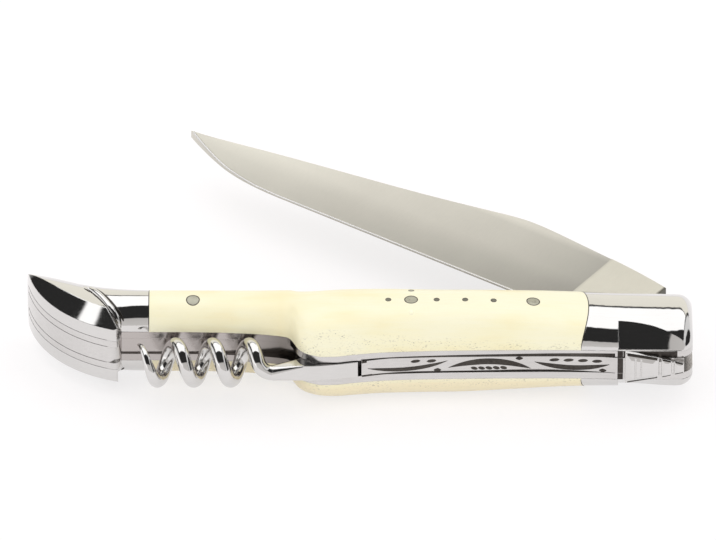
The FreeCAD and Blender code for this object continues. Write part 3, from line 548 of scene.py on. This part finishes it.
def make_piece(name: str, grids: list, body: Body, finish: Finish) -> None:
    """Make a closed mesh from grids of points, with its faces outwards.

    Each grid joins its last column to its first, and rows that fall in one place close as poles.

    Args:
        name: the piece's name.
        grids: arrays of points in millimetres, each (rows, columns, 3).
        body: the body it rides on.
        finish: its finish.
    """
    points, faces, start = [], [], 0
    for grid in grids:
        rows, columns, _ = grid.shape
        index = start + np.arange(rows * columns).reshape(rows, columns)
        after = np.roll(index, -1, axis=1)
        faces.append(np.stack([index[:-1], after[:-1], after[1:], index[1:]], axis=-1).reshape(-1, 4))
        points.append(grid.reshape(-1, 3))
        start += rows * columns
    lifted = (np.concatenate(points) + UPWARD * MID_HEIGHT) * MM
    mesh = bpy.data.meshes.new(name)
    mesh.from_pydata(lifted.tolist(), [], np.concatenate(faces).tolist())
    sculpt = bmesh.new()
    sculpt.from_mesh(mesh)
    bmesh.ops.remove_doubles(sculpt, verts=sculpt.verts, dist=WELD_METRES)
    bmesh.ops.recalc_face_normals(sculpt, faces=sculpt.faces)
    sculpt.to_mesh(mesh)
    sculpt.free()
    mesh.polygons.foreach_set("use_smooth", np.ones(len(mesh.polygons), bool))
    mesh.materials.append(WARDROBE.get(finish))
    piece = bpy.data.objects.new(name, mesh)
    bpy.context.scene.collection.objects.link(piece)
    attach(piece, body.value)
    LOG.info("made %s with %d faces", name, len(mesh.polygons))


@dataclass(frozen=True)
class Skin:
    """Half-oval sections over the liner's face, eased between stations along the handle.

    A station holds its place along the length, its back edge and blade edge across the width, and its rise.
    """

    stations: tuple
    rise: float
    width: float = 16.0

    def column(self, x: np.ndarray, index: int) -> np.ndarray:
        """One column of the stations at places along the handle, by cubics that don't overshoot.

        Args:
            x: places in millimetres.
            index: the column.

        Returns:
            The eased shares.
        """
        table = np.array(self.stations)
        places, amounts = table[:, 0] * HANDLE_LENGTH, table[:, index]
        steps = np.diff(amounts) / np.diff(places)
        left, right = steps[:-1], steps[1:]
        total = np.where(left * right > 0, left + right, 1.0)
        inner = np.where(left * right > 0, 2 * left * right / total, 0.0)
        slopes = np.concatenate([steps[:1], inner, steps[-1:]])
        at = np.clip(np.searchsorted(places, x) - 1, 0, len(places) - 2)
        span = places[at + 1] - places[at]
        go = (x - places[at]) / span
        start = amounts[at] * (1 + 2 * go) * (1 - go) ** 2 + slopes[at] * span * go * (1 - go) ** 2
        return start + amounts[at + 1] * go ** 2 * (3 - 2 * go) - slopes[at + 1] * span * go ** 2 * (1 - go)

    def edges(self, x: np.ndarray) -> tuple:
        """Back edge and blade edge at places along the handle."""
        return self.column(x, 1) * self.width, self.column(x, 2) * self.width

    def across(self, x: np.ndarray, turn: np.ndarray) -> np.ndarray:
        """Places across the handle at angles round the half oval, counted from its back edge."""
        near, far = self.edges(x)
        return (near + far) / 2 - (far - near) / 2 * np.cos(turn)

    def height(self, x: np.ndarray, y: np.ndarray) -> np.ndarray:
        """Height of the skin: the liner's face plus a half oval of the rise across the width.

        Args:
            x: places along the handle.
            y: places across it.

        Returns:
            Heights over the mid-plane.
        """
        near, far = self.edges(x)
        share = (2 * y - near - far) / (far - near)
        return LINER_FACE + self.rise * self.column(x, 3) * np.sqrt(np.clip(1 - share ** 2, 0.0, 1.0))

    def outward(self, x: np.ndarray, y: np.ndarray) -> np.ndarray:
        """Unit normals of the upper skin at places along and across, from the slopes of its height."""
        reach = 0.01
        slope_x = (self.height(x + reach, y) - self.height(x - reach, y)) / (2 * reach)
        slope_y = (self.height(x, y + reach) - self.height(x, y - reach)) / (2 * reach)
        return unit(np.stack([-slope_x, -slope_y, np.ones_like(slope_x)], axis=-1))


HANDLE_SKIN = Skin((
    (-0.342, -0.105, 0.500, 0.756), (-0.250, -0.108, 0.500, 0.756), (-0.167, -0.138, 0.494, 0.775),
    (-0.120, -0.185, 0.490, 0.815), (-0.105, -0.225, 0.490, 0.840), (-0.091, -0.435, 0.490, 0.870),
    (-0.082, -0.510, 0.491, 0.892), (-0.070, -0.560, 0.494, 0.920), (-0.055, -0.590, 0.498, 0.950),
    (-0.036, -0.586, 0.502, 0.980), (-0.010, -0.552, 0.506, 0.995), (0.042, -0.500, 0.500, 1.000),
    (0.1375, -0.469, 0.475, 1.000), (0.225, -0.459, 0.506, 0.910), (0.288, -0.456, 0.5375, 0.805),
    (0.342, -0.4625, 0.544, 0.732), (0.392, -0.475, 0.5375, 0.690), (0.442, -0.479, 0.525, 0.675),
    (0.510, -0.476, 0.5125, 0.650)), rise=6.15)


def mirrored(points: np.ndarray, side: Side) -> np.ndarray:
    """Points kept above the mid-plane or laid below it."""
    return points * np.array([1.0, 1.0, float(side.value)])


def cast_on(name: str, starts: np.ndarray, way: np.ndarray) -> tuple:
    """Points cast straight onto a CAD node; those that pass beside it are left out.

    Args:
        name: the node's name.
        starts: places to cast from, (n, 3).
        way: direction of the casts.

    Returns:
        Places on the node's face, and the normals there.
    """
    tree = BVHTree.FromObject(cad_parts[name], bpy.context.evaluated_depsgraph_get())
    middle = UPWARD * MID_HEIGHT
    casts = (tree.ray_cast(Vector(start), Vector(way)) for start in (starts + middle) * MM)
    hits = [hit[:2] for hit in casts if hit[0] is not None]
    return np.array([spot for spot, _ in hits]) / MM - middle, np.array([normal for _, normal in hits])


@dataclass
class Scales:
    """Bone scales with their rivets and the cross of small pins."""

    rivets: tuple = ((-29.88, 2.0), (9.36, 0.0), (31.32, 0.48))
    rivet_radius: float = 1.15
    cross_pins: tuple = ((5.264, 0.0), (13.959, 0.0), (19.082, 0.0), (24.205, 0.0), (9.4, 3.4))
    cross_radius: float = 0.5
    rim_width: float = 0.09
    rim_height: float = 0.035
    full_rim_radius: float = 1.0

    def dress(self) -> None:
        """Dress the CAD scales, rivets and pins."""
        for name in ("scale_top", "scale_bottom"):
            WARDROBE.dress_node(name, Finish.BONE)
        for name in ("tail_scale_rivets", "centre_scale_rivets", "front_scale_rivets"):
            WARDROBE.dress_node(name, Finish.PIN)
        WARDROBE.dress_node("cross_pins", Finish.CROSS)

    def rim(self, centre: tuple, radius: float, side: Side) -> np.ndarray:
        """Ring that follows the skin round one pin: the circle of its edge, lifted to the skin's height.

        Args:
            centre: the pin's place on the plan.
            radius: the pin's radius.
            side: upper or lower scale.

        Returns:
            Grid of points.
        """
        turn = np.linspace(0.0, 2.0 * np.pi, RING_STEPS, endpoint=False)
        x = centre[0] + radius * np.cos(turn)
        y = centre[1] + radius * np.sin(turn)
        path = np.column_stack([x, y, np.minimum(HANDLE_SKIN.height(x, y), MID_HEIGHT)])
        lift = HANDLE_SKIN.outward(x, y)
        across = unit(np.cross(np.roll(path, -1, axis=0) - np.roll(path, 1, axis=0), lift))
        width = self.rim_width * min(radius / self.full_rim_radius, 1.0)
        return mirrored(swept(path, across, lift, width, self.rim_height, closed=True), side)

    def build(self) -> None:
        """Make the dark rims of the rivets and of the cross of pins."""
        for side in Side:
            rims = [self.rim(centre, self.rivet_radius, side) for centre in self.rivets]
            make_piece(f"rivet_rims_{side.name.lower()}", rims, Body.HANDLE, Finish.GROOVE_AND_SHADE)
        pins = [self.rim(centre, self.cross_radius, Side.UPPER) for centre in self.cross_pins]
        make_piece("cross_pin_rims", pins, Body.HANDLE, Finish.GROOVE_AND_SHADE)


@dataclass
class Bolsters:
    """Polished head and tail bolsters, with the collar of the beak and the joints to the bone."""

    tail_joint: float = -37.8
    head_joint_centre: float = 21.3
    head_joint_radius: float = 20.0
    head_joint_middle: float = 0.55
    head_joint_half: float = 7.85
    joint_ends: float = 0.03
    joint_width: float = 0.08
    joint_height: float = 0.02
    bead_fullness: float = 1.02
    collar: tuple = ((-48.9, 6.6), (-47.4, 4.6), (-45.8, 2.2), (-44.5, 0.35), (-43.5, -0.9), (-43.05, -1.6))
    collar_radius: float = 0.66
    groove_reach: float = 0.84
    groove_width: float = 0.2

    def dress(self) -> None:
        """Dress the CAD bolsters."""
        for name in ("head_bolster_top", "head_bolster_bottom", "tail_bolster_top", "tail_bolster_bottom"):
            WARDROBE.dress_node(name, Finish.MIRROR)

    def tail_line(self) -> np.ndarray:
        """Joint of bone and tail bolster: one section of the skin."""
        turn = np.linspace(self.joint_ends, np.pi - self.joint_ends, LINE_STEPS)
        x = np.full_like(turn, self.tail_joint)
        y = HANDLE_SKIN.across(x, turn)
        return np.column_stack([x, y, HANDLE_SKIN.height(x, y)])

    def head_joint(self, y: np.ndarray) -> np.ndarray:
        """Places of the head's joint along the handle: an arc on the plan."""
        return self.head_joint_centre + np.sqrt(self.head_joint_radius ** 2 - y ** 2)

    def head_line(self) -> np.ndarray:
        """Joint of bone and head bolster: the skin along the arc, whose edges follow from a first guess.

        Returns:
            Places along the joint.
        """
        turn = np.linspace(self.joint_ends, np.pi - self.joint_ends, LINE_STEPS)
        guess = self.head_joint_middle - self.head_joint_half * np.cos(turn)
        y = HANDLE_SKIN.across(self.head_joint(guess), turn)
        x = self.head_joint(y)
        return np.column_stack([x, y, HANDLE_SKIN.height(x, y)])

    def collar_line(self, aside: float) -> tuple:
        """Line along the collar on the bolster's face: a smooth plan curve, cast down onto the CAD solid.

        Args:
            aside: millimetres to the beak's side of the collar's middle.

        Returns:
            Places along the line and the face's normals there.
        """
        plan = smooth_path(np.array(self.collar), CURVE_STEPS)
        along = headings(plan)
        plan = plan + np.column_stack([along[:, 1], -along[:, 0]]) * aside
        starts = np.column_stack([plan, np.full(len(plan), MID_HEIGHT)])
        return cast_on("tail_bolster_top", starts, -UPWARD)

    def build(self) -> None:
        """Make the dark joints, and the collars with a groove on either side, on both faces."""
        for side in Side:
            label = side.name.lower()
            lines = []
            for path in (self.tail_line(), self.head_line()):
                lift = HANDLE_SKIN.outward(path[:, 0], path[:, 1])
                lines.append(self.bead(path, lift, side, self.joint_width, self.joint_height))
            make_piece(f"scale_joints_{label}", lines, Body.HANDLE, Finish.GROOVE_AND_SHADE)
            rib = self.bead(*self.collar_line(0.0), side, self.collar_radius, self.collar_radius)
            make_piece(f"beak_collar_{label}", [rib], Body.HANDLE, Finish.MIRROR)
            grooves = [self.bead(*self.collar_line(reach), side, self.groove_width, self.groove_width / 2)
                       for reach in (self.groove_reach, -self.groove_reach)]
            make_piece(f"collar_grooves_{label}", grooves, Body.HANDLE, Finish.GROOVE_AND_SHADE)

    def bead(self, path: np.ndarray, lift: np.ndarray, side: Side, width: float, height: float) -> np.ndarray:
        """Oval bead along a line, thinner to its ends by the eighth power of the share along it.

        Args:
            path: places along the line, on the upper side.
            lift: normals there.
            side: the side it is laid on.
            width: half width.
            height: half height.

        Returns:
            Grid of points.
        """
        across = unit(np.cross(headings(path), lift))
        share = np.linspace(-1.0, 1.0, len(path))
        ease = np.sqrt(self.bead_fullness - share ** 8)
        return mirrored(swept(path, across, lift, width * ease, height * ease), side)


@dataclass
class SpringBack:
    """Liners, backspring and fly: engraved back, dark joints between the bars and the walled butt.

    Shares are of the handle's length and the spring's width. A crescent holds its start and end, as place and
    height, and the sags of its two bows. A row of nicks holds its first and last place, their count, foot and top
    and their reach in millimetres. A bevel of the fly holds its start and end, its depth and its half width.
    """

    crescents: tuple = (
        (0.012, 0.00, 0.134, 0.25, -0.47, -0.27), (0.133, -0.23, 0.258, -0.37, 0.60, 0.27),
        (0.262, 0.08, 0.376, 0.04, -0.46, -0.20))
    nick_rows: tuple = (
        (0.080, 0.104, 2, 0.20, 0.26, 0.35), (0.168, 0.212, 5, -0.24, -0.34, 0.1),
        (0.288, 0.352, 4, 0.17, 0.23, 0.4))
    nick_width: float = 0.5
    nick_lean: float = 1.1
    dots: tuple = ((0.1175, -0.36), (0.240, 0.30), (0.365, -0.37))
    dot_reach: float = 0.7
    dot_half: float = 0.24
    width: float = 3.4
    edge_inset: float = 0.03
    inlay_height: float = 0.03
    inlay_spread: float = 0.08
    inlay_ends: float = 0.98
    joint_span: tuple = (0.6, 46.0)
    upper_joint: tuple = (0.10, 0.42)
    lower_joint: tuple = (0.16, 0.05)
    joint_height: float = 0.04
    arms: tuple = ((1.4, 1.5), (2.4, -1.5))
    arm_start: float = 0.5
    arm_half: float = 0.2
    arm_height: float = 0.06
    # Painted dark reflection on the upper liner's edge, and painted shade in the gap before the fly.
    shade_span: tuple = (47.5, 57.2)
    shade_half: float = 0.68
    gap_place: float = 46.95
    gap_half: float = 0.50
    head_back: float = -7.8
    # Painted dark reflections lie along these bevels of the fly.
    fly_bevels: tuple = (
        (48.2, 3.29, 53.6, 2.27, -8.45, 0.25), (54.5, 2.01, 56.0, 1.63, -8.567, 0.15),
        (56.8, 1.46, 58.2, 1.07, -8.489, 0.15))
    bevel_angle: float = 60.0
    bevel_inset: float = 1.3
    bevel_height: float = 0.03
    butt_radius: float = 22.3
    butt_centre: tuple = (-37.7, 16.71)
    butt_span: tuple = (190.0, 250.0)
    butt_joints: tuple = ((HALF_SLOT, 0.05), (LINER_FACE, 0.03))
    butt_height: float = 0.02

    def dress(self) -> None:
        """Dress the CAD liners, spring, fly and hidden pins."""
        for name in ("liner_top", "liner_bottom", "backspring"):
            WARDROBE.dress_node(name, Finish.BRUSHED)
        WARDROBE.dress_node("fly", Finish.MIRROR)
        for name in ("blade_pivot_pin", "spring_centre_pin", "spring_tail_pin", "corkscrew_pivot_pin"):
            WARDROBE.dress_node(name, Finish.PIN)

    def back_side(self, x: np.ndarray) -> np.ndarray:
        """Depth of the spring's back, cast from behind at its upper edge, clear of the engraving."""
        behind, height = np.full(len(x), -2 * MID_HEIGHT), np.full(len(x), HALF_SLOT - self.edge_inset)
        return cast_on("backspring", np.column_stack([x, behind, height]), -BACKWARD)[0][:, 1]

    def inlay(self, ends: np.ndarray, outer: float, inner: float) -> np.ndarray:
        """Dark filling of one engraved leaf: an oval between two bows, tapering to its ends.

        Its middle line bows by the mean of the two sags times one less the squared share along it, and its
        width falls with the cube of that share.

        Args:
            ends: start and end as place along the handle and height, (2, 2).
            outer: sag of one bow.
            inner: sag of the other.

        Returns:
            Grid of points.
        """
        share = np.linspace(-self.inlay_ends, self.inlay_ends, RING_STEPS)
        start, end = ends
        run = end - start
        away = np.array([-run[1], run[0]]) / np.hypot(*run)
        bow = (1 - share ** 2)[:, None]
        middle = (start + end) / 2 + share[:, None] * run / 2 + away * (outer + inner) / 2 * bow
        path = np.column_stack([middle[:, 0], self.back_side(middle[:, 0]), middle[:, 1]])
        across = unit(np.cross(headings(path), BACKWARD))
        half = (abs(outer - inner) / 2 + self.inlay_spread) * (1 - np.abs(share) ** 3)
        return swept(path, across, BACKWARD, half, self.inlay_height)

    def engraving(self) -> list:
        """Inlays of the crescents, nicks and dots.

        Returns:
            Grids of points.
        """
        grids = []
        for first, first_height, last, last_height, outer, inner in self.crescents:
            ends = np.array([(first, first_height), (last, last_height)]) * (HANDLE_LENGTH, self.width)
            grids.append(self.inlay(ends, outer * self.width, inner * self.width))
        for first, last, count, foot, top, reach in self.nick_rows:
            for x in np.linspace(first, last, count) * HANDLE_LENGTH:
                tip = x + self.nick_lean + reach
                ends = np.array([(x - reach, foot * self.width), (tip, top * self.width)])
                grids.append(self.inlay(ends, self.nick_width / 2, -self.nick_width / 2))
        for place, height in self.dots:
            x = place * HANDLE_LENGTH
            ends = np.array([(x + reach, height * self.width) for reach in (-self.dot_reach, self.dot_reach)])
            grids.append(self.inlay(ends, self.dot_half, -self.dot_half))
        return grids

    def edge_line(self, side: Side) -> np.ndarray:
        """Dark joint of spring and liner along the back; the upper one widens to the head, on the liner's edge.

        Args:
            side: upper or lower joint.

        Returns:
            Grid of points.
        """
        x = np.linspace(*self.joint_span, LONG_STEPS)
        if side is Side.UPPER:
            half = np.linspace(*self.upper_joint, LONG_STEPS)
            path = np.column_stack([x, HANDLE_SKIN.edges(x)[0], HALF_SLOT + half])
        else:
            half = np.linspace(*self.lower_joint, LONG_STEPS)
            path = np.column_stack([x, self.back_side(x), half - HALF_SLOT])
        return swept(path, UPWARD, BACKWARD, half, self.joint_height)

    def arm_lines(self) -> list:
        """Dark arms where the spring's joints meet the gap behind the corkscrew's root."""
        grids = []
        for end, height in self.arms:
            x = np.linspace(self.arm_start, end, SHORT_STEPS)
            path = np.column_stack([x, self.back_side(x), np.full_like(x, height)])
            grids.append(swept(path, UPWARD, BACKWARD, self.arm_half, self.arm_height))
        return grids

    def shade_line(self) -> np.ndarray:
        """Dark band of painted reflection on the upper liner's edge, between the bolster's scoop and the fly."""
        x = np.linspace(*self.shade_span, RING_STEPS)
        path = np.column_stack([x, HANDLE_SKIN.edges(x)[0], np.full_like(x, (HALF_SLOT + LINER_FACE) / 2)])
        return swept(path, UPWARD, BACKWARD, self.shade_half, self.joint_height)

    def gap_line(self) -> np.ndarray:
        """Painted shade in the gap before the fly: a dark strip straight down across the liners and the head of
        the spring.
        """
        height = np.linspace(LINER_FACE, -LINER_FACE, LINE_STEPS)
        x = np.full_like(height, self.gap_place)
        y = np.where(np.abs(height) < HALF_SLOT, self.head_back, HANDLE_SKIN.edges(x)[0])
        return swept(np.column_stack([x, y, height]), HEADWARD, BACKWARD, self.gap_half, self.joint_height)

    def bevel_lines(self) -> list:
        """Painted dark reflections: strips along the upper and lower bevels of the fly's tiers, just inside their
        edges.

        Returns:
            Grids of points.
        """
        grids = []
        slope = math.radians(self.bevel_angle)
        inward = np.array([0.0, -math.cos(slope), -math.sin(slope)])
        lift = np.array([0.0, -math.sin(slope), math.cos(slope)])
        for first, first_height, last, last_height, edge, width in self.fly_bevels:
            ends = np.array([[first, edge, first_height], [last, edge, last_height]])
            path = np.linspace(*ends, SHORT_STEPS) + inward * self.bevel_inset * width
            strip = swept(path, inward, lift, width, self.bevel_height)
            grids += [mirrored(strip, side) for side in Side]
        return grids

    def butt_line(self, height: float, half_width: float) -> np.ndarray:
        """Joint line round the butt: an arc of its wall at one height.

        Args:
            height: height over the mid-plane.
            half_width: half width of the line.

        Returns:
            Grid of points.
        """
        turn = np.radians(np.linspace(*self.butt_span, LONG_STEPS))
        ray = np.column_stack([np.cos(turn), np.sin(turn), np.zeros_like(turn)])
        path = np.array([*self.butt_centre, height]) + ray * self.butt_radius
        return swept(path, UPWARD, ray, half_width, self.butt_height)

    def build(self) -> None:
        """Make the inlays, the joint lines, and the painted shade and reflections by the fly."""
        make_piece("engraving_inlays", self.engraving(), Body.HANDLE, Finish.GROOVE_AND_SHADE)
        joints = [self.edge_line(side) for side in Side] + self.arm_lines()
        make_piece("spring_joints", joints, Body.HANDLE, Finish.GROOVE_AND_SHADE)
        lines = [self.butt_line(side.value * height, half)
                 for height, half in self.butt_joints for side in Side]
        make_piece("butt_joints", lines, Body.HANDLE, Finish.GROOVE_AND_SHADE)
        # Painted shade in the gap before the fly, and painted dark reflections on the liner's edge and the fly's
        # bevels.
        lines = [self.gap_line(), self.shade_line(), *self.bevel_lines()]
        make_piece("fly_lines", lines, Body.HANDLE, Finish.GROOVE_AND_SHADE)


@dataclass
class Blade:
    """Satin blade with its fine ground edge."""

    pivot: tuple = (53.4, 2.0)
    reach: float = 105.5
    edge_below_pivot: float = 3.84
    edge_half: float = 0.15
    spine_half: float = 1.6
    edge_straight: tuple = (0.19, 0.72)
    edge_curve: tuple = (
        (0.769, 0.0), (0.822, 0.019), (0.877, 0.081), (0.919, 0.169), (0.968, 0.303), (0.996, 0.39))
    bevel_width: float = 0.5
    bevel_height: float = 0.04

    def dress(self) -> None:
        """Dress the CAD blade."""
        WARDROBE.dress_node("blade", Finish.SATIN)

    def turned(self, local: np.ndarray) -> np.ndarray:
        """Points of the blade's own frame, -X to the tip and +Y to the spine, turned into the resting pose."""
        turn = math.radians(-BLADE_REST_ANGLE)
        cos, sin = math.cos(turn), math.sin(turn)
        return local @ np.array([[cos, sin, 0.0], [-sin, cos, 0.0], [0.0, 0.0, 1.0]])

    def edge_bevel(self, side: Side) -> np.ndarray:
        """Ground strip along the edge, laid on the blade's tapered face.

        Args:
            side: upper or lower face.

        Returns:
            Grid of points.
        """
        straight = np.column_stack([np.linspace(*self.edge_straight, SHORT_STEPS), np.zeros(SHORT_STEPS)])
        along, rise = np.concatenate([straight, smooth_path(np.array(self.edge_curve), CURVE_STEPS)]).T
        level = BLADE_WIDTH * rise - self.edge_below_pivot
        outline = np.column_stack([-self.reach * along, level, np.zeros_like(along)])
        inward = np.cross(headings(outline), UPWARD)
        path = outline + inward * self.bevel_width / 2
        slope = (self.spine_half - self.edge_half) / BLADE_WIDTH
        path[:, 2] = side.value * (self.edge_half + slope * (path[:, 1] + self.edge_below_pivot))
        across = unit(inward + UPWARD * side.value * slope)
        strip = swept(path, across, UPWARD * side.value, self.bevel_width / 2, self.bevel_height)
        return self.turned(strip) + np.array([*self.pivot, 0.0])

    def build(self) -> None:
        """Make the ground edge on both faces."""
        bevels = [self.edge_bevel(side) for side in Side]
        make_piece("edge_bevels", bevels, Body.BLADE, Finish.MIRROR)


@dataclass
class Corkscrew:
    """Folding corkscrew."""

    def dress(self) -> None:
        """Dress the CAD corkscrew."""
        WARDROBE.dress_node("corkscrew", Finish.MIRROR)


@dataclass
class Studio:
    """Floor, light and camera of the photograph, in metres."""

    tent: tuple = (
        (0.0, (0.63, 0.61, 0.55)), (0.02, (0.72, 0.70, 0.63)), (0.200, (0.72, 0.70, 0.63)),
        (0.2035, 0.05), (0.220, 0.05), (0.226, 1.0), (0.495, 1.0), (0.505, 0.02), (0.80, 0.02),
        (0.815, (0.435, 0.422, 0.413)), (1.0, (0.505, 0.492, 0.483)))
    tent_lean: float = -0.3
    tent_middle: tuple = ((0.60, 1.0), (0.62, 0.0))
    tent_sides: tuple = ((0.08, 0.6), (0.11, 0.02), (0.82, 0.02), (0.835, 0.6), (0.912, 0.6), (0.922, 0.02))
    tent_strength: float = 1.5
    patch: tuple = (0.94, 0.93, 0.925)
    patch_height: tuple = ((0.2, 1.0), (0.34, 0.0))
    patch_side: tuple = ((0.5, 0.0), (0.6, 1.0))
    soft: tuple = (1.0, 0.99, 0.98)
    soft_strength: float = 0.98
    floor_reach: float = 3.0
    floor_light: tuple = (0.90, 0.90, 0.90)
    floor_rough: float = 0.9
    floor_seen: tuple = (0.36, 0.345, 0.35)
    floor_glow: float = 0.672
    lamp_size: tuple = (0.9, 0.7)
    lamp_place: tuple = (0.0, 0.15, 0.9)
    lamp_watts: float = 0.8
    target: tuple = (-0.00018, 0.0222)
    distance: float = 3.0
    elevation: float = 35.0
    lens: float = 832.6
    sensor: float = 36.0
    clip: tuple = (0.05, 20.0)

    def tent_colour(self, graph: Graph) -> Socket:
        """Tent that the steel reflects: white from the back to overhead, dark over the camera and to the sides.

        Args:
            graph: the tree that gets it.

        Returns:
            The colour socket.
        """
        way = graph.add("SeparateXYZ", {0: graph.add("TexCoord").outputs["Generated"]}).outputs
        leaned = graph.math("MULTIPLY_ADD", way["X"], self.tent_lean, way["Y"])
        angle = graph.math("DIVIDE", graph.math("ARCTAN2", way["Z"], leaned), math.pi)
        aside = graph.ramp(graph.math("MULTIPLY_ADD", way["X"], RAMP_MIDDLE, RAMP_MIDDLE), self.tent_sides)
        middle = graph.ramp(graph.math("ABSOLUTE", way["X"]), self.tent_middle)
        tent = graph.blend(middle, aside, graph.ramp(angle, self.tent))
        low = graph.ramp(way["Z"], self.patch_height)
        left = graph.ramp(graph.math("MULTIPLY", way["X"], -1.0), self.patch_side)
        return graph.blend(graph.math("MULTIPLY", low, left), tent, opaque(self.patch))

    def world(self) -> None:
        """Soft even light, a white background for the camera and a tent for reflections."""
        world = bpy.data.worlds.new("tent")
        bpy.context.scene.world = world
        world.use_nodes = True
        graph = Graph(world.node_tree)
        shown = graph.add("Background", {"Color": self.tent_colour(graph), "Strength": self.tent_strength})
        white = graph.add("Background", {"Color": opaque(WHITE), "Strength": 1.0})
        camera = graph.add("LightPath").outputs["Is Camera Ray"]
        seen = graph.add("MixShader", {0: camera, 1: shown.outputs[0], 2: white.outputs[0]})
        soft = graph.add("Background", {"Color": opaque(self.soft), "Strength": self.soft_strength})
        both = graph.add("MixShader", {0: graph.seen_rays(), 1: soft.outputs[0], 2: seen.outputs[0]})
        graph.add("OutputWorld", {"Surface": both.outputs[0]})

    def floor(self) -> None:
        """Wide pale floor under the resting face."""
        mesh = bpy.data.meshes.new("floor")
        reach = self.floor_reach
        corners = [(-reach, -reach, 0), (reach, -reach, 0), (reach, reach, 0), (-reach, reach, 0)]
        mesh.from_pydata(corners, [], [(0, 1, 2, 3)])
        floor = bpy.data.objects.new("floor", mesh)
        bpy.context.scene.collection.objects.link(floor)
        dress = Dress("floor_white")
        dress.feed(dress.shader, {"Base Color": opaque(self.floor_light), "Roughness": self.floor_rough})
        matt = dress.add("BsdfDiffuse", {"Color": opaque(self.floor_seen)})
        glow = dress.add("Emission", {"Color": opaque(WHITE), "Strength": self.floor_glow})
        seen = dress.add("AddShader", {0: matt.outputs[0], 1: glow.outputs[0]})
        mix = dress.add("MixShader", {0: dress.seen_rays(), 1: dress.shader.outputs[0], 2: seen.outputs[0]})
        dress.feed(dress.output, {"Surface": mix.outputs[0]})
        mesh.materials.append(dress.material)

    def lamp(self) -> None:
        """Large soft lamp overhead."""
        light = bpy.data.lights.new("overhead", "AREA")
        light.shape = "RECTANGLE"
        light.size, light.size_y = self.lamp_size
        light.energy = self.lamp_watts
        lamp = bpy.data.objects.new("overhead", light)
        lamp.location = self.lamp_place
        lamp.visible_glossy = False
        bpy.context.scene.collection.objects.link(lamp)

    def camera(self) -> None:
        """Camera at the photograph's angle: straight along +Y, well above the floor, with a long lens."""
        data = bpy.data.cameras.new("camera")
        data.sensor_width = self.sensor
        data.sensor_fit = "HORIZONTAL"
        data.lens = self.lens
        data.clip_start, data.clip_end = self.clip
        camera = bpy.data.objects.new("camera", data)
        lift = math.radians(self.elevation)
        aim = Vector((*self.target, MID_HEIGHT * MM))
        camera.location = aim + Vector((0.0, -math.cos(lift), math.sin(lift))) * self.distance
        camera.rotation_euler = (math.pi / 2 - lift, 0.0, 0.0)
        bpy.context.scene.collection.objects.link(camera)
        bpy.context.scene.camera = camera

    def build(self) -> None:
        """Set up the light, the floor and the camera."""
        self.world()
        self.floor()
        self.lamp()
        self.camera()
        bpy.context.scene.view_settings.view_transform = "Standard"


def main() -> None:
    """Build the studio, then dress and finish each sub-assembly."""
    logging.basicConfig(level=logging.INFO)
    Studio().build()
    for group in (Scales(), Bolsters(), SpringBack(), Blade()):
        group.dress()
        group.build()
    Corkscrew().dress()


if __name__ == "__main__":
    main()
